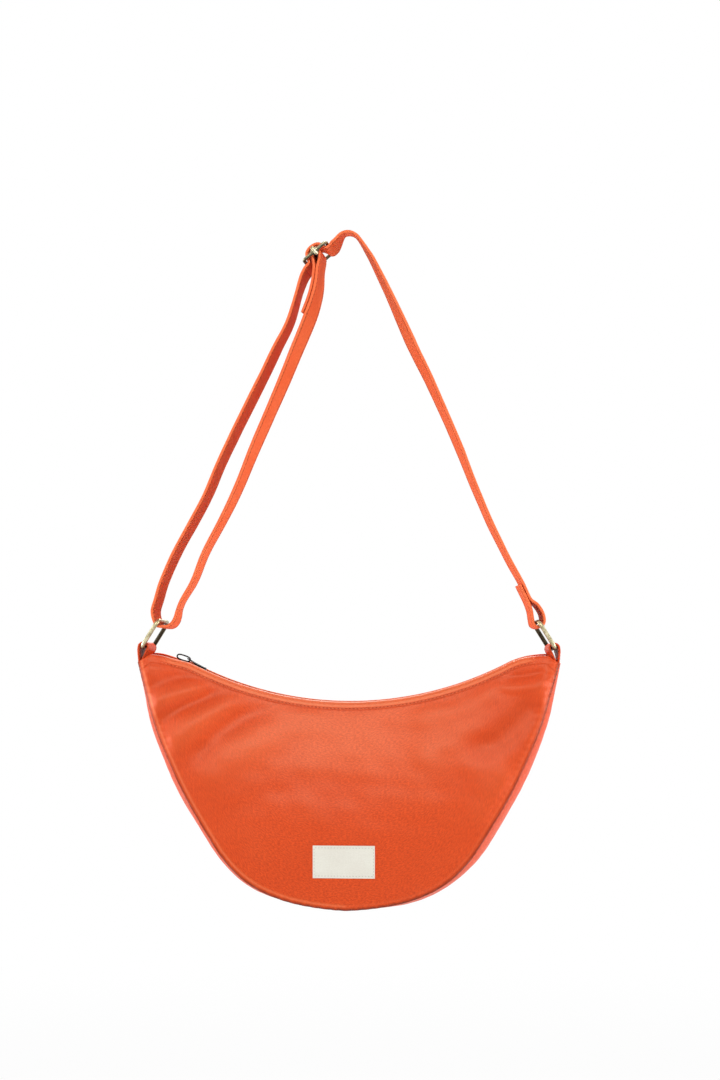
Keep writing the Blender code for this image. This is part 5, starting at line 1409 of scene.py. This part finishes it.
def zipSliderPieces():
    angle = -zipRestAngle
    tangent = np.array([math.cos(angle), 0.0, math.sin(angle)])
    normal = np.array([-math.sin(angle), 0.0, math.cos(angle)])
    side = np.array([0.0, 1.0, 0.0])
    x, z = zipPoint(angle, 0.0)
    origin = np.array([x, 0.0, z])
    zAxis = np.cross(tangent, side)
    sign = 1.0 if zAxis @ normal > 0 else -1.0
    upper = -zipSize["sink"] + zipSize["clear"]
    lower = -zipSize["sink"] - zipSize["teethHeight"] - zipSize["clear"]
    length, width, plate = zipSize["sliderLength"], zipSize["sliderWidth"], zipSize["sliderPlate"]
    outline = plateOutline(length, width * 0.86, width, 3.2, 64)
    parts = [
        platePart(outline, upper, upper + plate, 0.0004, 0.00012),
        platePart(outline * (1.0, 0.9), lower - plate, lower, 0.0004, 0.0),
        platePart(plateOutline(length * 0.5, 0.0004, 0.0004, 2.4, 24), lower - plate / 2,
                  upper + plate / 2, 0.00008),
    ]
    parts = [placed(p, tangent, side * sign, normal, origin) for p in parts]
    pivotHeight = pullLook["rise"] - zipSize["sink"] + zipSize["sliderPlate"]
    half = pullLook["bailSpan"]
    t = np.linspace(0, math.pi, 25)
    arch = np.stack([-half * np.cos(t), np.abs(np.sin(t)) ** 0.45], axis=1)
    foot = upper + plate - 0.0006
    bail = origin + side * arch[:, :1] + normal * (foot + (pivotHeight - foot) * arch[:, 1:])
    bail = equalSteps(bail, 49)
    parts.append(tubePart(bail, pullLook["bailWire"] / 2, tangent, 14))
    piece = makePiece("zipSlider", parts, [gunmetal])
    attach(piece, "zip_slider")
    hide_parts("zip_slider_body")

    # the pull: a plate with a round hole, on a barrel that turns on the bail
    rise = math.radians(pullLook["riseDeg"])
    along = -tangent * math.cos(rise) + normal * math.sin(rise)
    up = np.cross(along, side)
    up = up if up @ normal > 0 else -up
    pivot = origin + normal * pivotHeight
    count = 72
    a = 2 * math.pi * (np.arange(count) + 0.5) / count
    c, s = np.cos(a), np.sin(a)
    centreX = pullLook["length"] - pullLook["holeEdge"]
    outerX = np.where(c > 0, centreX + pullLook["holeEdge"] * c,
                      centreX * (1 + signedPower(c, pullLook["square"])))
    taper = 0.5 * pullLook["width"] * (0.86 + 0.14 * ease(outerX / centreX))
    outerY = taper * np.where(c > 0, s, signedPower(s, pullLook["square"]))
    hole = np.stack([centreX + pullLook["hole"] / 2 * c, pullLook["hole"] / 2 * s], axis=1)
    outer = np.stack([outerX, outerY], axis=1)
    # the plate thins from its barrel to its hole, and its edge is chamfered
    chamfered = outer * pullLook["chamfer"]
    ring = [(chamfered, 1.0), (outer, 0.5), (outer, -0.5), (chamfered, -1.0),
            (hole, -1.0), (hole, 1.0)]
    rings = []
    for flat, share in ring:
        thin = pullLook["thick"] - pullLook["thinning"] * ease(flat[:, 0] / centreX)
        rings.append(np.column_stack([flat, share * pullLook["plate"] * thin]))
    parts = [loft(np.swapaxes(rings, 0, 1), True)]
    t = np.linspace(-0.5, 0.5, 21)
    spine = (t * pullLook["width"] * 0.9)[:, None] * (0.0, 1.0, 0.0)
    swell = pullLook["barrel"] / 2 * np.minimum(1.0, 0.8 + 4 * (0.5 - np.abs(t)))
    parts.append(tubePart(spine, swell, (1.0, 0.0, 0.0), 24))
    yAxis = np.cross(up, along)
    parts = [placed(p, along, yAxis, up, pivot) for p in parts]
    piece = makePiece("zipPull", parts, [gunmetal])
    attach(piece, "zip_pull")
    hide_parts("zip_pull")

    # the oval wire ring
    droop, roll = math.radians(pullLook["droopDeg"]), math.radians(pullLook["rollDeg"])
    hang = along * math.cos(droop) - up * math.sin(droop)
    start = pivot + along * centreX
    across = np.array([hang[2], 0.0, -hang[0]]) * math.cos(roll) + side * math.sin(roll)
    turn = 2 * math.pi * np.arange(72) / 72
    reach, power = pullLook["ringLength"] / 2, 2 / pullLook["squareness"]
    # a superellipse: sine and cosine are raised to a power below one
    ahead, aside = signedPower(np.cos(turn), power), signedPower(np.sin(turn), power)
    path = start + hang * (reach - reach * ahead)[:, None]
    path = path + across * (pullLook["ringHeight"] / 2 * aside)[:, None]
    path = equalSteps(np.vstack([path, path[:1]]), 73)[:-1]
    facing = np.cross(hang, across)
    piece = makePiece("pullRing", [tubePart(path, pullLook["ringWire"] / 2, facing, 14, True)],
                      [gunmetal])
    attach(piece, "pull_ring")
    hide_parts("pull_ring")


zipSliderPieces()
print("sliders done")


# Floor, background and light

studio = {
    "floorZ": -1.05, "floorReach": 6.0, "floorSteps": 96, "ambient": 0.19, "aim": (0.0, 0.0, -0.35),
    "lamps": (
        # name, place, size, watts, colour
        ("keyLamp", (0.05, -1.85, 0.97), 0.7, 34.0, (1.0, 0.99, 0.97)),
        ("leftLamp", (-1.95, 0.05, -0.25), 1.1, 31.0, (1.0, 1.0, 1.0)),
        ("rightLamp", (1.95, 0.05, -0.25), 1.1, 31.0, (1.0, 1.0, 1.0)),
        ("topLamp", (0.1, 0.5, 1.3), 1.2, 6.0, (1.0, 1.0, 1.0)),
        ("backLamp", (-0.05, 1.85, 0.97), 0.7, 24.0, (1.0, 0.99, 0.97)),
    ),
}


def seenDirectly(start):
    # one for rays from the camera, off a glossy surface or through glass
    path = start.node("LightPath", 0)
    seen = path
    for k in (3, 6):
        seen = start.maths("MAXIMUM", seen, Wire(start.tree, path.socket.node.outputs[k]))
    return seen


def studioFloor():
    n = studio["floorSteps"]
    angle = 2 * math.pi * np.arange(n) / n
    circle = np.stack([np.cos(angle), np.sin(angle), np.zeros(n)], axis=1)
    points = np.vstack([circle * studio["floorReach"] * share for share in (0.02, 0.2, 0.5, 1.0)])
    points[:, 2] = studio["floorZ"]
    mesh = bpy.data.meshes.new("floor")
    faces = [tuple(range(n))]
    for ring in range(3):
        for k in range(n):
            a, b = ring * n + k, ring * n + (k + 1) % n
            faces.append((b, a, a + n, b + n))
    mesh.from_pydata(points.tolist(), [], faces)
    floor = bpy.data.objects.new("floor", mesh)
    bpy.context.scene.collection.objects.link(floor)
    material, shader, start = newMaterial("palefloor")
    shader.inputs["Base Color"].default_value = (0.82, 0.82, 0.82, 1.0)
    shader.inputs["Roughness"].default_value = 0.9
    seen = seenDirectly(start)
    place = start.node("TexCoord", 3)
    away = start.node("VectorMath", 1, {"operation": "LENGTH"}, i0=place)
    share = away.smooth(0.6, 2.6) * 0.35 + 0.65
    glow = start.node("Emission", 0, Color=(1.0, 1.0, 1.0), Strength=1.0)
    mixed = start.node("MixShader", 0, i0=seen * share, i1=start, i2=glow)
    start.feed(mixed, start.tree.nodes["Material Output"].inputs[0])
    mesh.materials.append(material)


def studioLight():
    world = bpy.data.worlds.new("studio")
    bpy.context.scene.world = world
    world.use_nodes = True
    tree = world.node_tree
    plain = tree.nodes["Background"]
    plain.inputs["Color"].default_value = (1.0, 1.0, 1.0, 1.0)
    start = Wire(tree, plain.outputs[0])
    seen = seenDirectly(start)
    start.feed(seen * (1.0 - studio["ambient"]) + studio["ambient"], plain.inputs["Strength"])
    for name, place, reach, watts, colour in studio["lamps"]:
        lamp = bpy.data.lights.new(name, "AREA")
        lamp.shape, lamp.size, lamp.energy, lamp.color = "DISK", reach, watts, colour
        obj = bpy.data.objects.new(name, lamp)
        bpy.context.scene.collection.objects.link(obj)
        aim = np.array(studio["aim"]) - np.array(place)
        obj.location = place
        lean = math.acos(-aim[2] / float(np.linalg.norm(aim)))
        obj.rotation_euler = (lean, 0.0, math.atan2(aim[1], aim[0]) - math.pi / 2)


studioFloor()
studioLight()
bpy.context.scene.view_settings.view_transform = "Standard"

print("bag dressed")
